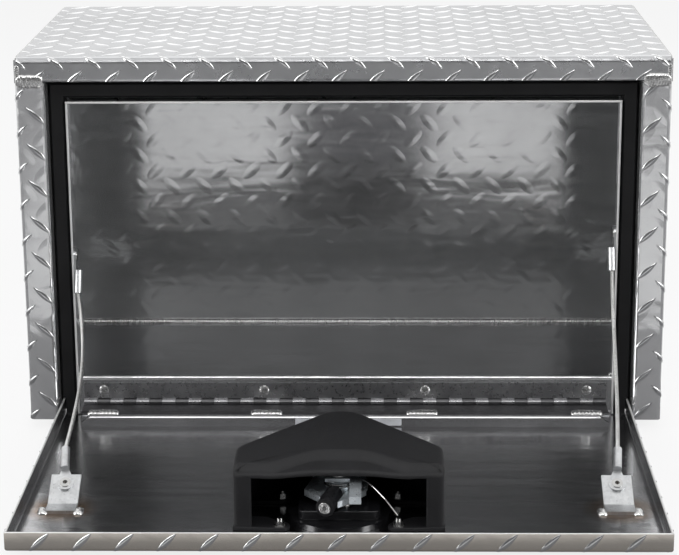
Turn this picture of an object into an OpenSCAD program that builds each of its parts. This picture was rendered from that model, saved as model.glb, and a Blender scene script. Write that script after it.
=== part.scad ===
// Underbody truck tool box in welded tread plate with a drop-down door.
// The door is drawn open and lies level in front of the box.
// Origin: centre of the box's underside. +X right, +Y to the back, +Z up.

/* [Box] */
// Width of the box
body_w = 609.6; // [480:0.1:760]
// Height of the box
body_h = 355.6; // [290:0.1:450]
// Depth of the box, front to back
body_d = 304.8; // [250:0.1:400]
// Thickness of the tread plate
sheet_t = 2; // [1.6:0.1:2.6]
// Centreline radius of the small bends
bend_r = 2.5; // [2:0.1:4]
// Centreline radius of the bend from the front into the top
top_bend_r = 4.5; // [3:0.1:8]

/* [Front frame] */
// Width of the frame's face at each side of the opening
frame_side_w = 27.5; // [22:0.5:40]
// Height of the frame's face above the opening
frame_top_h = 23.6; // [18:0.2:40]
// Depth of the channel that the seal sits in
recess_d = 30; // [26:0.5:36]
// Width of that channel, from the frame's edge to the inner lip
channel_w = 16.3; // [16:0.1:20]
// Height of the channel above the opening, down to the inner lip
top_channel_w = 21; // [17:0.5:26]
// How far the inner lip reaches forward from the back of its channel
lip_reach = 16; // [10:0.5:16]

/* [Sill and hinge] */
// Distance of the hinge pin behind the front plane
pin_y = 15; // [14:0.5:16]
// Height of the hinge pin above the underside
pin_z = 12.5; // [11:0.5:16]
// Radius of the hinge pin
pin_r = 1.5; // [1.2:0.1:2]
// Thickness of a hinge leaf
leaf_t = 1.5; // [1.2:0.1:2]
// Length of one hinge knuckle
knuckle_len = 12.7; // [10:0.1:15]
// Width of the leaf on the sill, from the pin
fixed_leaf_w = 19; // [16:0.5:24]
// Width of the leaf on the door, from the pin
door_leaf_w = 23; // [18:0.5:26]
// Height of the sill
sill_h = 38; // [34:0.5:46]
// Depth of the rolled edge on top of the sill
sill_roll = 8; // [7:0.5:12]
// Number of screws in the leaf on the sill
screw_count = 4; // [2:2:8]
// Spacing of those screws
screw_pitch = 156.5; // [60:0.5:160]
// Radius of those screws
screw_r = 2.4; // [2:0.1:3]

/* [Door] */
// Gap round the door in its opening
door_gap = 1.8; // [1.2:0.1:3]
// Depth of the door pan over its flanges
pan_d = 17; // [15:0.5:17]
// Distance from the hinge pin down to the closed door's lower edge
door_drop = 13; // [10:0.5:14]
// Height of the hinge's rail above the door's skin
rail_run = 31.6; // [24:0.2:34]
// Length of the slanted end of the rail
rail_slant = 10.5; // [4:0.5:14]

/* [Cables] */
// Radius of the wire rope
rope_r = 1.9; // [1.5:0.1:2.4]
// Distance from the centre plane to the rope's eye on the door
door_eye_x = 241; // [180:1:242]
// Distance from the front plane to that eye
door_eye_y = 194; // [150:1:230]
// Height of that eye
door_eye_z = 13; // [12:0.5:24]
// Rise of the rope from the door
door_tilt = 31; // [20:1:40]
// Turn of the rope outwards from that eye
door_yaw = 5; // [0:0.5:9]
// Height of the left-hand rope's eye on the box
left_eye_z = 158; // [120:1:200]
// Height of the right-hand rope's eye on the box
right_eye_z = 180; // [120:1:200]
// Fall of the rope from its eye on the box
box_tilt = 65; // [62:1:80]
// Sideways bow of the left-hand rope
left_bow = 12; // [0:1:20]
// Width of the straps on the door
strap_w = 26; // [20:1:32]
// Thickness of those straps
strap_t = 3; // [2:0.5:4]
// Radius of the rope's crimped sleeves
crimp_r = 3.8; // [3.2:0.1:4.5]
// Length of those sleeves
crimp_len = 22; // [16:1:24]
// Radius of the eyes at the ends of the ropes
eye_r = 7.5; // [6.5:0.1:7.8]
// Radius of the hollow rivets through the eyes
rivet_r = 3; // [2.5:0.1:3.5]

/* [Latch] */
// Distance from the door's free edge to the latch shaft
latch_edge = 74.5; // [70.5:0.5:80.5]
// Radius of the latch shaft
shaft_r = 6; // [5:0.5:6.5]
// Inner radius of the round dish
dish_r = 42; // [41:0.5:44]
// Travel of the bolt
bolt_travel = 18; // [14:1:18]
// Half width of the bolt
bolt_hw = 12; // [10:0.5:14]
// Radius of the black sleeve on the pawl
sleeve_r = 8; // [6:0.5:8]
// Half width of the hood
hood_hw = 90; // [84:1:94]
// Height of the hood above the door's skin
hood_h = 57; // [54:1:64]
// Wall of the hood
hood_t = 3; // [2:0.5:4]

/* [Hidden] */
$fn = 48;
run_gap = 0.05;
half_w = body_w / 2;
front_y = -body_d / 2;
back_y = body_d / 2;
inner_w = half_w - sheet_t;
open_x = half_w - frame_side_w;
open_z = body_h - frame_top_h;
lip_x = open_x - channel_w - sheet_t;
lip_z = open_z - top_channel_w - sheet_t;
lip_y = front_y + recess_d + sheet_t - lip_reach;
flange_y = front_y + recess_d;

knuckle_r = pin_r + run_gap + leaf_t;
knuckle_n = 2 * floor(lip_x / knuckle_len);
hinge_x = knuckle_n * knuckle_len / 2;
pin = [front_y + pin_y, pin_z];
leaf_clear = 0.35;
knuckle_gap = 0.3;
sill_y = pin[0] + knuckle_r;
floor_front_y = flange_y + sheet_t;
screw_rise = 12;
screw_z = pin_z + screw_rise;
screw_head_r = 4.7;
screw_head_h = 2.3;

door_x = open_x - door_gap;
door_proud = 0.5;
door_out_z = pin_z - pin_y - door_proud;
skin_z = door_out_z + sheet_t;
pan_top_z = door_out_z + pan_d;
seal_gap = 0.4;
seal_w = channel_w - 2 * seal_gap;
seal_rest_gap = 0.9;
seal_front_y = pin[0] + pan_top_z - pin_z + seal_rest_gap;
seal_d = flange_y - seal_front_y;
door_back_y = pin[0] + door_drop;
door_top_gap = 2;
door_front_y = pin[0] - (open_z - door_top_gap - pin_z);
leaf_z = pin_z - knuckle_r;
rail_y = pin[0] - rail_run;
rail_x = hinge_x - 0.5;

latch = [0, door_front_y + latch_edge];
dish_t = 2;
dish_floor_z = door_out_z + 5.5;
dish_top_z = dish_floor_z + dish_t;
housing_top_z = dish_top_z + 8.5;
bezel_z = door_out_z - 3.5;
bezel_t = 2.5;
rim_z = bezel_z - 2.5;
bezel_x = 66;
bezel_y = 50;
stud_x = 50;
stud_y = 30;
stud_r = 2.5;
stud_h = 13;
flange_t = 3;
hood_reach = 34;
hood_side_len = 50;
hood_len = 140;
hood_apex_r = 25;
hood_front = latch[1] - hood_reach;
hood_shoulder = hood_front + hood_side_len;
hood_apex = hood_front + hood_len;
cam_z = housing_top_z + 6.5;
cam_t = 5.5;
pawl_hub_r = shaft_r + 5;
sleeve_from = [-4.3, -14.4, cam_z + 4];
sleeve_to = [-11.5, -39, cam_z + 2.2];
sleeve_len = norm(sleeve_to - sleeve_from);
pawl_screw_r = 3;
screw_in = 6;
bolt_z = cam_z + 14;
bolt_t = 3;
cam_start_r = 34;
follower_r = 2.5;
bolt_reach = 51;
bolt_front_y = latch[1] - bolt_reach;
guide_gap = 5;
guide_y = latch[1] + dish_r + guide_gap;
guide_t = 2.5;
guide_rivet_r = 2;
washer_t = 1.5;
washer_gap = 0.4;
washer_z = bolt_z + bolt_t + washer_gap;
nut_h = 4;
handle_z = door_out_z - 1;
hub_r = 10;
lock_r = 4;
fold_pin_r = 1.5;
shaft_low_z = handle_z + fold_pin_r + 0.1;
ear_gap = 0.3;
ear_t = 3;

wire_r = 0.8;
coil_r = pawl_hub_r + wire_r + 0.8;
coil_turns = 1.5;
coil_pitch = 2.1;
hub_gap = 0.9;
coil_top = bolt_z - hub_gap - wire_r - washer_gap;
coil_z = coil_top - coil_turns * coil_pitch;
spring_path = concat(
    [for (i = [0:coil_turns * 12]) [
        latch[0] + coil_r * cos((i - coil_turns * 12) * 30),
        latch[1] + coil_r * sin((i - coil_turns * 12) * 30),
        coil_z + coil_pitch * i / 12
    ]],
    [
        [16, latch[1] + 4, coil_top],
        [22, latch[1] - 2, coil_top - 0.6],
        [29, latch[1] - 9, coil_top - 3],
        [39, latch[1] - 19, coil_top - 10],
        [stud_x - 0.5, latch[1] - stud_y + 2, bezel_z + bezel_t + stud_h + wire_r + 0.4]
    ]
);

door_eye = [door_eye_x, front_y - door_eye_y, door_eye_z];
eye_t = 2;
crimp_start = 14;
crimp_end = crimp_start + crimp_len;
crimp_rise = crimp_r + 0.1;
eye_y = lip_y + lip_reach / 2;

weld_silver = [0.78, 0.78, 0.76];
tread = [0.72, 0.73, 0.74];
plate_grey = [0.5, 0.51, 0.52];
zinc = [0.8, 0.79, 0.74];
black = [0.08, 0.08, 0.09];

// ---- Helpers ----

function unit(v) = v / norm(v);
function left_of(v) = [-v[1], v[0]];
function turned(v, a) = [v[0] * cos(a) - v[1] * sin(a), v[0] * sin(a) + v[1] * cos(a)];
function turn_between(a, b) = atan2(a[0] * b[1] - a[1] * b[0], a[0] * b[0] + a[1] * b[1]);
function joined(lists) = [for (list = lists) for (p = list) p];
function reversed(list) = [for (i = [len(list) - 1:-1:0]) list[i]];

// Points of one bend in a sheet, at a distance off to the left of its centreline
function bend_points(a, b, c, r, off) =
    let (
        along = unit(b - a),
        turn = turn_between(along, unit(c - b)),
        side = sign(turn),
        start = b - along * r * tan(abs(turn) / 2),
        centre = start + left_of(along) * r * side,
        steps = 6
    )
    [for (k = [0:steps]) centre - turned(left_of(along) * side, turn * k / steps) * (r - side * off)];

// One face of a sheet that follows a path of corners
function sheet_side(path, r, off) =
    let (last = len(path) - 1)
    joined([for (i = [0:last])
        i == 0 ? [path[0] + left_of(unit(path[1] - path[0])) * off] :
        i == last ? [path[i] + left_of(unit(path[i] - path[i - 1])) * off] :
        bend_points(path[i - 1], path[i], path[i + 1], is_list(r) ? r[i] : r, off)]);

// Section of a bent sheet of thickness t whose centreline follows a path
module sheet(path, t, r) {
    polygon(concat(sheet_side(path, r, t / 2), reversed(sheet_side(path, r, -t / 2))));
}

// Section in Y and Z, drawn out along X
module along_x(x0, x1) {
    translate([x0, 0, 0]) rotate([90, 0, 90]) linear_extrude(x1 - x0) children();
}

// Section in X and Z, drawn out along Y
module along_y(y0, y1) {
    translate([0, y1, 0]) rotate([90, 0, 0]) linear_extrude(y1 - y0) children();
}

// Section in X and Y, drawn out along Z
module along_z(z0, z1) {
    translate([0, 0, z0]) linear_extrude(z1 - z0) children();
}

module both_sides() {
    children();
    mirror([1, 0, 0]) children();
}

// Cylinder along X between two positions, at a point in Y and Z
module rod_x(x0, x1, at, r) {
    translate([x0, at[0], at[1]]) rotate([0, 90, 0]) cylinder(h = x1 - x0, r = r);
}

// Quarter of a disc in the corner between +a and +b
module quarter(r) {
    intersection() {
        circle(r);
        square(r);
    }
}

// Flat cap of a weld bead, standing proud of the line it lies on, towards -b
module bead_cap(w, h) {
    r = (w * w / 4 + h * h) / (2 * h);
    intersection() {
        translate([0, r - h]) circle(r);
        translate([-w / 2, -h]) square([w, h]);
    }
}

// Rectangle centred on the origin with round corners
module round_rect(hx, hy, r) {
    square([2 * hx, 2 * (hy - r)], center = true);
    square([2 * (hx - r), 2 * hy], center = true);
    for (x = [-hx + r, hx - r], y = [-hy + r, hy - r]) translate([x, y]) circle(r);
}

// ---- Box ----

module side_profile(z0, z1, with_lip) {
    mid = sheet_t / 2;
    path = [
        [half_w - mid, back_y],
        [half_w - mid, front_y + mid],
        [open_x + mid, front_y + mid],
        [open_x + mid, flange_y + mid],
        [with_lip ? lip_x + mid : lip_x + sheet_t, flange_y + mid],
        if (with_lip) [lip_x + mid, lip_y]
    ];
    along_z(z0, z1) sheet(path, sheet_t, bend_r);
}

module side_panel(eye_z) {
    color(tread) difference() {
        union() {
            side_profile(0, lip_z + sheet_t, true);
            side_profile(lip_z + sheet_t, open_z, false);
            translate([inner_w, front_y, open_z - 0.01])
                cube([sheet_t, body_d, body_h - sheet_t - open_z + 0.01]);
        }
        rod_x(lip_x - 1, lip_x + sheet_t + 1, [eye_y, eye_z], rivet_r);
    }
}

module right_side_panel() side_panel(right_eye_z);

module left_side_panel() mirror([1, 0, 0]) side_panel(left_eye_z);

module top_panel() {
    mid = sheet_t / 2;
    upper = [
        [back_y, body_h - mid],
        [front_y + mid, body_h - mid],
        [front_y + mid, open_z + mid],
        [flange_y + sheet_t, open_z + mid]
    ];
    flange = [
        [front_y + 10, open_z + mid],
        [flange_y + mid, open_z + mid],
        [flange_y + mid, lip_z + sheet_t]
    ];
    lip = [
        [front_y + 10, open_z + mid],
        [flange_y + mid, open_z + mid],
        [flange_y + mid, lip_z + mid],
        [lip_y, lip_z + mid]
    ];
    color(tread) union() {
        along_x(-inner_w, inner_w) sheet(upper, sheet_t, [0, top_bend_r, bend_r]);
        along_x(-lip_x - sheet_t, lip_x + sheet_t) sheet(flange, sheet_t, bend_r);
        along_x(-lip_x, lip_x) sheet(lip, sheet_t, bend_r);
    }
}

module back_panel() {
    color(tread)
        translate([-inner_w, back_y - sheet_t, 0])
            cube([2 * inner_w, sheet_t, body_h - sheet_t]);
}

module floor_panel() {
    color(plate_grey)
        translate([-inner_w, floor_front_y, 0])
            cube([2 * inner_w, back_y - sheet_t - floor_front_y, sheet_t]);
}

module sill_panel() {
    mid = sheet_t / 2;
    sill = [
        [floor_front_y, mid],
        [sill_y + mid, mid],
        [sill_y + mid, sill_h - mid],
        [sill_y + sill_roll - mid, sill_h - mid],
        [sill_y + sill_roll - mid, sill_h - sill_roll]
    ];
    color(plate_grey) difference() {
        along_x(-lip_x, lip_x) sheet(sill, sheet_t, bend_r);
        screw_row(screw_r + 0.1);
    }
}

module top_edge_welds() {
    color(weld_silver) both_sides()
        along_y(front_y + top_bend_r + 1, back_y)
            translate([inner_w, body_h - sheet_t]) quarter(sheet_t);
}

module frame_corner_welds() {
    color(weld_silver) both_sides() {
        along_x(open_x + 1, half_w - 1)
            translate([front_y, open_z]) rotate(-90) bead_cap(6, 1.4);
        along_z(open_z + 4, body_h - top_bend_r - 2)
            translate([inner_w, front_y]) bead_cap(2 * sheet_t - 0.4, 1);
    }
}

module floor_seam_weld() {
    leg = 6;
    bead_w = 6;
    bead_h = 1.2;
    color(weld_silver) {
        along_x(-inner_w, inner_w)
            translate([back_y - sheet_t, sheet_t]) mirror([1, 0, 0]) quarter(leg);
        along_x(-lip_x, lip_x)
            translate([floor_front_y, sheet_t]) mirror([0, 1, 0]) bead_cap(bead_w, bead_h);
    }
}

module sill_end_welds() {
    color(weld_silver) both_sides()
        along_y(sill_y + 2, sill_y + sill_roll - 2)
            translate([lip_x, sill_h]) mirror([1, 0, 0]) quarter(3.5);
}

// Seal: a D-shaped strip on the back of the channel, round three sides
module seal_section() {
    r = seal_w / 2;
    flat = seal_d - r * 0.75;
    bevel = 1.2;
    polygon([[-r + bevel, 0], [r - bevel, 0], [r, bevel], [r, flat], [-r, flat], [-r, bevel]]);
    intersection() {
        translate([0, flat]) circle(r);
        translate([-r, bevel]) square([seal_w, seal_d - bevel]);
    }
}

module door_seal() {
    side_x = open_x - channel_w / 2;
    top_inset = 2.4;
    top_z = open_z - seal_gap - seal_w / 2 - top_inset;
    color(black) difference() {
        union() {
            both_sides() intersection() {
                along_z(0.5, top_z + seal_w) translate([side_x, flange_y]) mirror([0, 1, 0]) seal_section();
                along_y(front_y, flange_y)
                    polygon([
                        [side_x - 40, top_z - 40], [side_x + 40, top_z + 40],
                        [side_x + 40, -1], [side_x - 40, -1]
                    ]);
            }
            intersection() {
                along_x(-side_x - seal_w, side_x + seal_w)
                    translate([flange_y, top_z]) rotate(90) seal_section();
                along_y(front_y, flange_y)
                    polygon([
                        [-side_x - 40, top_z + 40], [side_x + 40, top_z + 40],
                        [side_x - 40, top_z - 40], [-side_x + 40, top_z - 40]
                    ]);
            }
        }
        both_sides()
            translate([door_x - sheet_t - 1, front_y, -1]) cube([40, body_d, pan_top_z + 3]);
    }
}

// ---- Hinge ----

// Everything that a row of screws needs, at radius r, through leaf and sill
module screw_row(r) {
    for (i = [0:screw_count - 1])
        translate([(i - (screw_count - 1) / 2) * screw_pitch, sill_y - leaf_t - 1, screw_z])
            rotate([-90, 0, 0]) cylinder(h = sheet_t + leaf_t + 9, r = r);
}

module knuckles(first) {
    for (i = [first:2:knuckle_n - 1]) {
        x0 = -hinge_x + i * knuckle_len + knuckle_gap / 2;
        rod_x(x0, x0 + knuckle_len - knuckle_gap, pin, knuckle_r);
    }
}

// Short webs from the leaf to its own knuckles, on the tangent of the barrel
module fixed_webs() {
    for (i = [0:2:knuckle_n - 1])
        translate([-hinge_x + i * knuckle_len + knuckle_gap / 2, sill_y - leaf_t, pin_z])
            cube([knuckle_len - knuckle_gap, leaf_t, knuckle_r + 1]);
}

module door_webs() {
    for (i = [1:2:knuckle_n - 1])
        translate([-hinge_x + i * knuckle_len + knuckle_gap / 2, pin[0] - knuckle_r - 1, leaf_z])
            cube([knuckle_len - knuckle_gap, knuckle_r + 1, leaf_t]);
}

module hinge_fixed_leaf() {
    start = knuckle_r + leaf_clear;
    color(plate_grey) difference() {
        union() {
            knuckles(0);
            fixed_webs();
            translate([-hinge_x, sill_y - leaf_t, pin_z + start])
                cube([2 * hinge_x, leaf_t, fixed_leaf_w - start]);
        }
        rod_x(-hinge_x - 1, hinge_x + 1, pin, pin_r + run_gap);
        screw_row(screw_r + 0.1);
    }
}

module hinge_door_leaf() {
    start = knuckle_r + leaf_clear;
    color(plate_grey) difference() {
        union() {
            knuckles(1);
            door_webs();
            translate([-hinge_x, pin[0] - door_leaf_w, leaf_z])
                cube([2 * hinge_x, door_leaf_w - start, leaf_t]);
        }
        rod_x(-hinge_x - 1, hinge_x + 1, pin, pin_r + run_gap);
    }
}

module hinge_pin() color(zinc) rod_x(-hinge_x + 0.2, hinge_x - 0.2, pin, pin_r);

module hinge_screws() {
    slot_w = 1.1;
    color(zinc) difference() {
        for (i = [0:screw_count - 1])
            translate([(i - (screw_count - 1) / 2) * screw_pitch, sill_y - leaf_t, screw_z])
                rotate([-90, 0, 0]) {
                    cylinder(h = sheet_t + leaf_t + 5, r = screw_r);
                    intersection() {
                        translate([0, 0, -screw_head_h]) cylinder(h = screw_head_h, r = screw_head_r);
                        translate([0, 0, 5.7]) sphere(r = 8);
                    }
                }
        for (i = [0:screw_count - 1])
            translate([(i - (screw_count - 1) / 2) * screw_pitch, sill_y - leaf_t - screw_head_h, screw_z])
                for (a = [45, 135])
                    rotate([0, a, 0]) cube([5, 2.4, slot_w], center = true);
    }
}

module hinge_nuts() {
    color(zinc) for (i = [0:screw_count - 1])
        translate([(i - (screw_count - 1) / 2) * screw_pitch, sill_y + sheet_t, screw_z])
            rotate([-90, 0, 0]) difference() {
                cylinder(h = 3.6, r = 4.6, $fn = 6);
                translate([0, 0, -1]) cylinder(h = 6, r = screw_r + run_gap);
            }
}

// ---- Door ----

// Outline in X and Z of a tray that is open at the top, with round lower edges
module tray_section(hx, low, high, r) {
    translate([-hx, low + r]) square([2 * hx, high - low - r]);
    translate([-hx + r, low]) square([2 * (hx - r), r + 1]);
    for (x = [-hx + r, hx - r]) translate([x, low + r]) circle(r);
}

module tray(inset, top) {
    r = bend_r + sheet_t / 2 - inset;
    low = door_out_z + inset;
    intersection() {
        along_y(door_front_y + inset, door_back_y + inset)
            tray_section(door_x - inset, low, top, r);
        along_x(-door_x, door_x) union() {
            translate([door_front_y + inset, low + r]) square([body_h * 2, top - low]);
            translate([door_front_y + inset + r, low]) square([body_h * 2, r + 1]);
            translate([door_front_y + inset + r, low + r]) circle(r);
        }
    }
}

module stud_places() {
    for (x = [-stud_x, stud_x], y = [-stud_y, stud_y])
        translate([latch[0] + x, latch[1] + y, 0]) children();
}

module door_panel() {
    color(tread) difference() {
        tray(0, pan_top_z);
        tray(sheet_t, pan_top_z + 5);
        translate([latch[0], latch[1], door_out_z - 1])
            cylinder(h = sheet_t + 2, r = dish_r + dish_t + 0.5);
        stud_places() translate([0, 0, door_out_z - 1]) cylinder(h = sheet_t + 2, r = stud_r + 0.2);
        guide_rivet_places() translate([0, 0, door_out_z - 1])
            cylinder(h = sheet_t + 2, r = guide_rivet_r);
    }
}

module door_corner_welds() {
    size = 4;
    color(weld_silver) both_sides()
        along_z(skin_z + 2, pan_top_z - 0.5)
            translate([door_x - sheet_t, door_front_y + sheet_t]) mirror([1, 0, 0]) quarter(size);
}

module hinge_rail() {
    mid = sheet_t / 2;
    top = leaf_z - mid;
    path = [[rail_y + mid, skin_z], [rail_y + mid, top], [pin[0] - 9, top]];
    color(tread) intersection() {
        along_x(-rail_x, rail_x) sheet(path, sheet_t, bend_r);
        along_y(rail_y - 1, pin[0])
            polygon([
                [-rail_x, skin_z - 1], [-rail_x, skin_z + 4], [-rail_x + rail_slant, leaf_z],
                [-rail_x + rail_slant, leaf_z + 1], [rail_x - rail_slant, leaf_z + 1],
                [rail_x - rail_slant, leaf_z], [rail_x, skin_z + 4], [rail_x, skin_z - 1]
            ]);
    }
}

module hinge_stitch_welds() {
    bead_len = 33;
    bead_x = [hinge_x * 0.295, hinge_x * 0.92];
    color(weld_silver) both_sides() for (x = bead_x)
        along_x(x - bead_len / 2, x + bead_len / 2 - 2)
            translate([pin[0] - door_leaf_w, leaf_z]) mirror([1, 0, 0]) quarter(leaf_t);
}

// ---- Cables ----

function rot_z(v, a) = [v[0] * cos(a) - v[1] * sin(a), v[0] * sin(a) + v[1] * cos(a), v[2]];
function rot_x(v, a) = [v[0], v[1] * cos(a) - v[2] * sin(a), v[1] * sin(a) + v[2] * cos(a)];

// Local frame at the eye on the door: +X along the rope, +Z square to the strap
module at_door_eye() {
    translate(door_eye) rotate([door_tilt, 0, 0]) rotate([0, 0, 90 - door_yaw]) children();
}

// Local frame at the eye on the box: +X along the rope, +Z in from the lip
module at_box_eye(z) {
    translate([lip_x, eye_y, z]) rotate([90 + box_tilt, 0, 0]) rotate([0, -90, 0]) children();
}

function from_door_eye(p) = door_eye + rot_x(rot_z(p, 90 - door_yaw), door_tilt);
function from_box_eye(p, z) = [lip_x, eye_y, z] + rot_x([-p[2], p[1], p[0]], 90 + box_tilt);

module terminal() {
    neck_w = 2.6;
    difference() {
        union() {
            cylinder(h = eye_t, r = eye_r);
            linear_extrude(eye_t) polygon([
                [2, eye_r * 0.96], [crimp_start + 2, neck_w],
                [crimp_start + 2, -neck_w], [2, -eye_r * 0.96]
            ]);
            translate([crimp_start, 0, crimp_rise]) rotate([0, 90, 0])
                cylinder(h = crimp_len, r = crimp_r);
        }
        translate([0, 0, -1]) cylinder(h = eye_t + 2, r = rivet_r);
        translate([crimp_end - 4, 0, crimp_rise]) rotate([0, 90, 0])
            cylinder(h = 5, r = rope_r + run_gap);
    }
}

// Hollow rivet through an eye and the sheet under it
module eyelet(under, back_flange) {
    flange_r = rivet_r + 1.8;
    flange_h = 0.8;
    difference() {
        union() {
            translate([0, 0, -under]) cylinder(h = under + eye_t, r = rivet_r);
            translate([0, 0, eye_t]) cylinder(h = flange_h, r = flange_r);
            if (back_flange) translate([0, 0, -under - flange_h]) cylinder(h = flange_h, r = flange_r);
        }
        translate([0, 0, -under - 2]) cylinder(h = under + eye_t + 4, r = rivet_r - 1);
    }
}

module right_lower_terminal() color(zinc) at_door_eye() terminal();

module left_lower_terminal() mirror([1, 0, 0]) right_lower_terminal();

module right_upper_terminal() color(zinc) at_box_eye(right_eye_z) terminal();

module left_upper_terminal() color(zinc) mirror([1, 0, 0]) at_box_eye(left_eye_z) terminal();

module lower_rivets() color(zinc) both_sides() at_door_eye() eyelet(strap_t, true);

module upper_rivets() {
    color(zinc) at_box_eye(right_eye_z) eyelet(sheet_t, false);
    color(zinc) mirror([1, 0, 0]) at_box_eye(left_eye_z) eyelet(sheet_t, false);
}

// Points of a rope from its sleeve on the door to its sleeve on the box
function bezier(a, b, c, d, t) =
    a * pow(1 - t, 3) + b * 3 * t * pow(1 - t, 2) + c * 3 * t * t * (1 - t) + d * pow(t, 3);

function rope_points(z, bow) =
    let (
        pull = 62,
        gap = 0.3,
        depth = 3.5,
        a = from_door_eye([crimp_end + gap, 0, crimp_rise]),
        b = from_door_eye([crimp_end + pull, 0, crimp_rise]) - [bow, 0, 0],
        c = from_box_eye([crimp_end + pull, 0, crimp_rise], z) - [bow, 0, 0],
        d = from_box_eye([crimp_end + gap, 0, crimp_rise], z)
    )
    concat(
        [from_door_eye([crimp_end - depth, 0, crimp_rise])],
        [for (i = [0:20]) bezier(a, b, c, d, i / 20)],
        [from_box_eye([crimp_end - depth, 0, crimp_rise], z)]
    );

// Round wire swept along a path: one ring of points at each point of the path
module wire(path, r) {
    sides = 8;
    last = len(path) - 1;
    points = [
        for (i = [0:last])
            let (
                d = path[min(i + 1, last)] - path[max(i - 1, 0)],
                u = cross(d, [0, 0, 1]) / norm(cross(d, [0, 0, 1])),
                v = cross(d, u) / norm(cross(d, u))
            )
            for (k = [0:sides - 1]) path[i] + (u * cos(k * 45) + v * sin(k * 45)) * r
    ];
    faces = concat(
        [for (i = [0:last - 1], k = [0:sides - 1])
            [i * sides + k, i * sides + (k + 1) % sides,
                (i + 1) * sides + (k + 1) % sides, (i + 1) * sides + k]],
        [[for (k = [sides - 1:-1:0]) k]],
        [[for (k = [0:sides - 1]) last * sides + k]]
    );
    polyhedron(points = points, faces = faces);
}

module right_cable() color(zinc) wire(rope_points(right_eye_z, 0), rope_r);

module left_cable() color(zinc) mirror([1, 0, 0]) wire(rope_points(left_eye_z, left_bow), rope_r);

// Strap on the door: a foot on the skin and a tongue that rises along the rope
module cable_bracket() {
    foot_len = 16;
    past_eye = 10;
    along = [cos(door_tilt), sin(door_tilt)];
    foot_z = skin_z + strap_t / 2;
    mid = [door_eye[1], door_eye[2]] - left_of(along) * strap_t / 2;
    bend = mid - along * (mid[1] - foot_z) / sin(door_tilt);
    color(zinc) difference() {
        along_x(door_eye_x - strap_w / 2, door_eye_x + strap_w / 2)
            sheet([bend - [foot_len, 0], bend, mid + along * past_eye], strap_t, strap_t);
        at_door_eye() translate([0, 0, -strap_t * 2]) cylinder(h = strap_t * 4, r = rivet_r);
    }
}

module right_cable_bracket() cable_bracket();

module left_cable_bracket() mirror([1, 0, 0]) cable_bracket();

module bracket_welds() {
    rise = door_eye_z - skin_z - strap_t / 2;
    foot_end = door_eye[1] - rise / tan(door_tilt);
    color(weld_silver) both_sides() for (s = [-1, 1])
        translate([door_eye_x + s * strap_w / 2, 0, skin_z])
            along_y(foot_end - 15, foot_end - 1)
                mirror([s < 0 ? 1 : 0, 0]) quarter(strap_t);
}

// ---- Latch ----

module guide_rivet_places() {
    for (x = [-14, 14]) translate([x, guide_y + 10, 0]) children();
}

module latch_bezel() {
    color(black) translate([latch[0], latch[1], bezel_z]) linear_extrude(bezel_t) difference() {
        round_rect(bezel_x, bezel_y, 22);
        circle(dish_r + dish_t + run_gap);
    }
}

module latch_gasket() {
    color(black) translate([latch[0], latch[1], bezel_z + bezel_t]) linear_extrude(1) difference() {
        round_rect(bezel_x - 1.5, bezel_y - 1.5, 21);
        circle(dish_r + dish_t + run_gap);
        for (x = [-stud_x, stud_x], y = [-stud_y, stud_y]) translate([x, y]) circle(stud_r + run_gap);
    }
}

module latch_dish() {
    rim_r = dish_r + 8;
    bore = shaft_r + run_gap;
    color(black) translate([latch[0], latch[1], 0]) rotate_extrude() polygon([
        [bore, dish_floor_z], [dish_r, dish_floor_z], [dish_r, rim_z],
        [rim_r - 1, rim_z], [rim_r, rim_z + 1], [rim_r, bezel_z],
        [dish_r + dish_t, bezel_z], [dish_r + dish_t, dish_top_z], [bore, dish_top_z]
    ]);
}

module latch_housing() {
    color(black) translate([latch[0], latch[1], dish_top_z])
        linear_extrude(housing_top_z - dish_top_z) difference() {
            round_rect(35, 26, 7);
            circle(shaft_r + run_gap);
        }
}

module latch_studs() {
    color(zinc) stud_places() translate([0, 0, bezel_z + bezel_t]) cylinder(h = stud_h, r = stud_r);
}

module latch_nuts() {
    color(zinc) stud_places() translate([0, 0, skin_z + flange_t]) difference() {
        union() {
            cylinder(h = 0.8, r = 5.4);
            cylinder(h = 4.6, r = 4.4, $fn = 6);
        }
        translate([0, 0, -1]) cylinder(h = 8, r = stud_r + run_gap);
    }
}

// Plan of the hood, drawn in by a distance
module hood_plan(inset) {
    hw = hood_hw - inset;
    r = hood_apex_r - inset;
    centre = [0, hood_apex - hood_apex_r];
    corner = [hw - 9 + inset * 0.3, hood_shoulder + 11 - inset * 0.7];
    reach = centre - corner;
    lean = atan2(reach[1], reach[0]) - asin(r / norm(reach)) - 90;
    polygon(concat(
        [[-hw, hood_front], [-hw, hood_shoulder - inset * 0.4], [-corner[0], corner[1]]],
        [for (i = [0:12]) let (a = 180 - lean + (2 * lean - 180) * i / 12)
            centre + [cos(a), sin(a)] * r],
        [corner, [hw, hood_shoulder - inset * 0.4], [hw, hood_front]]
    ));
}

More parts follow.
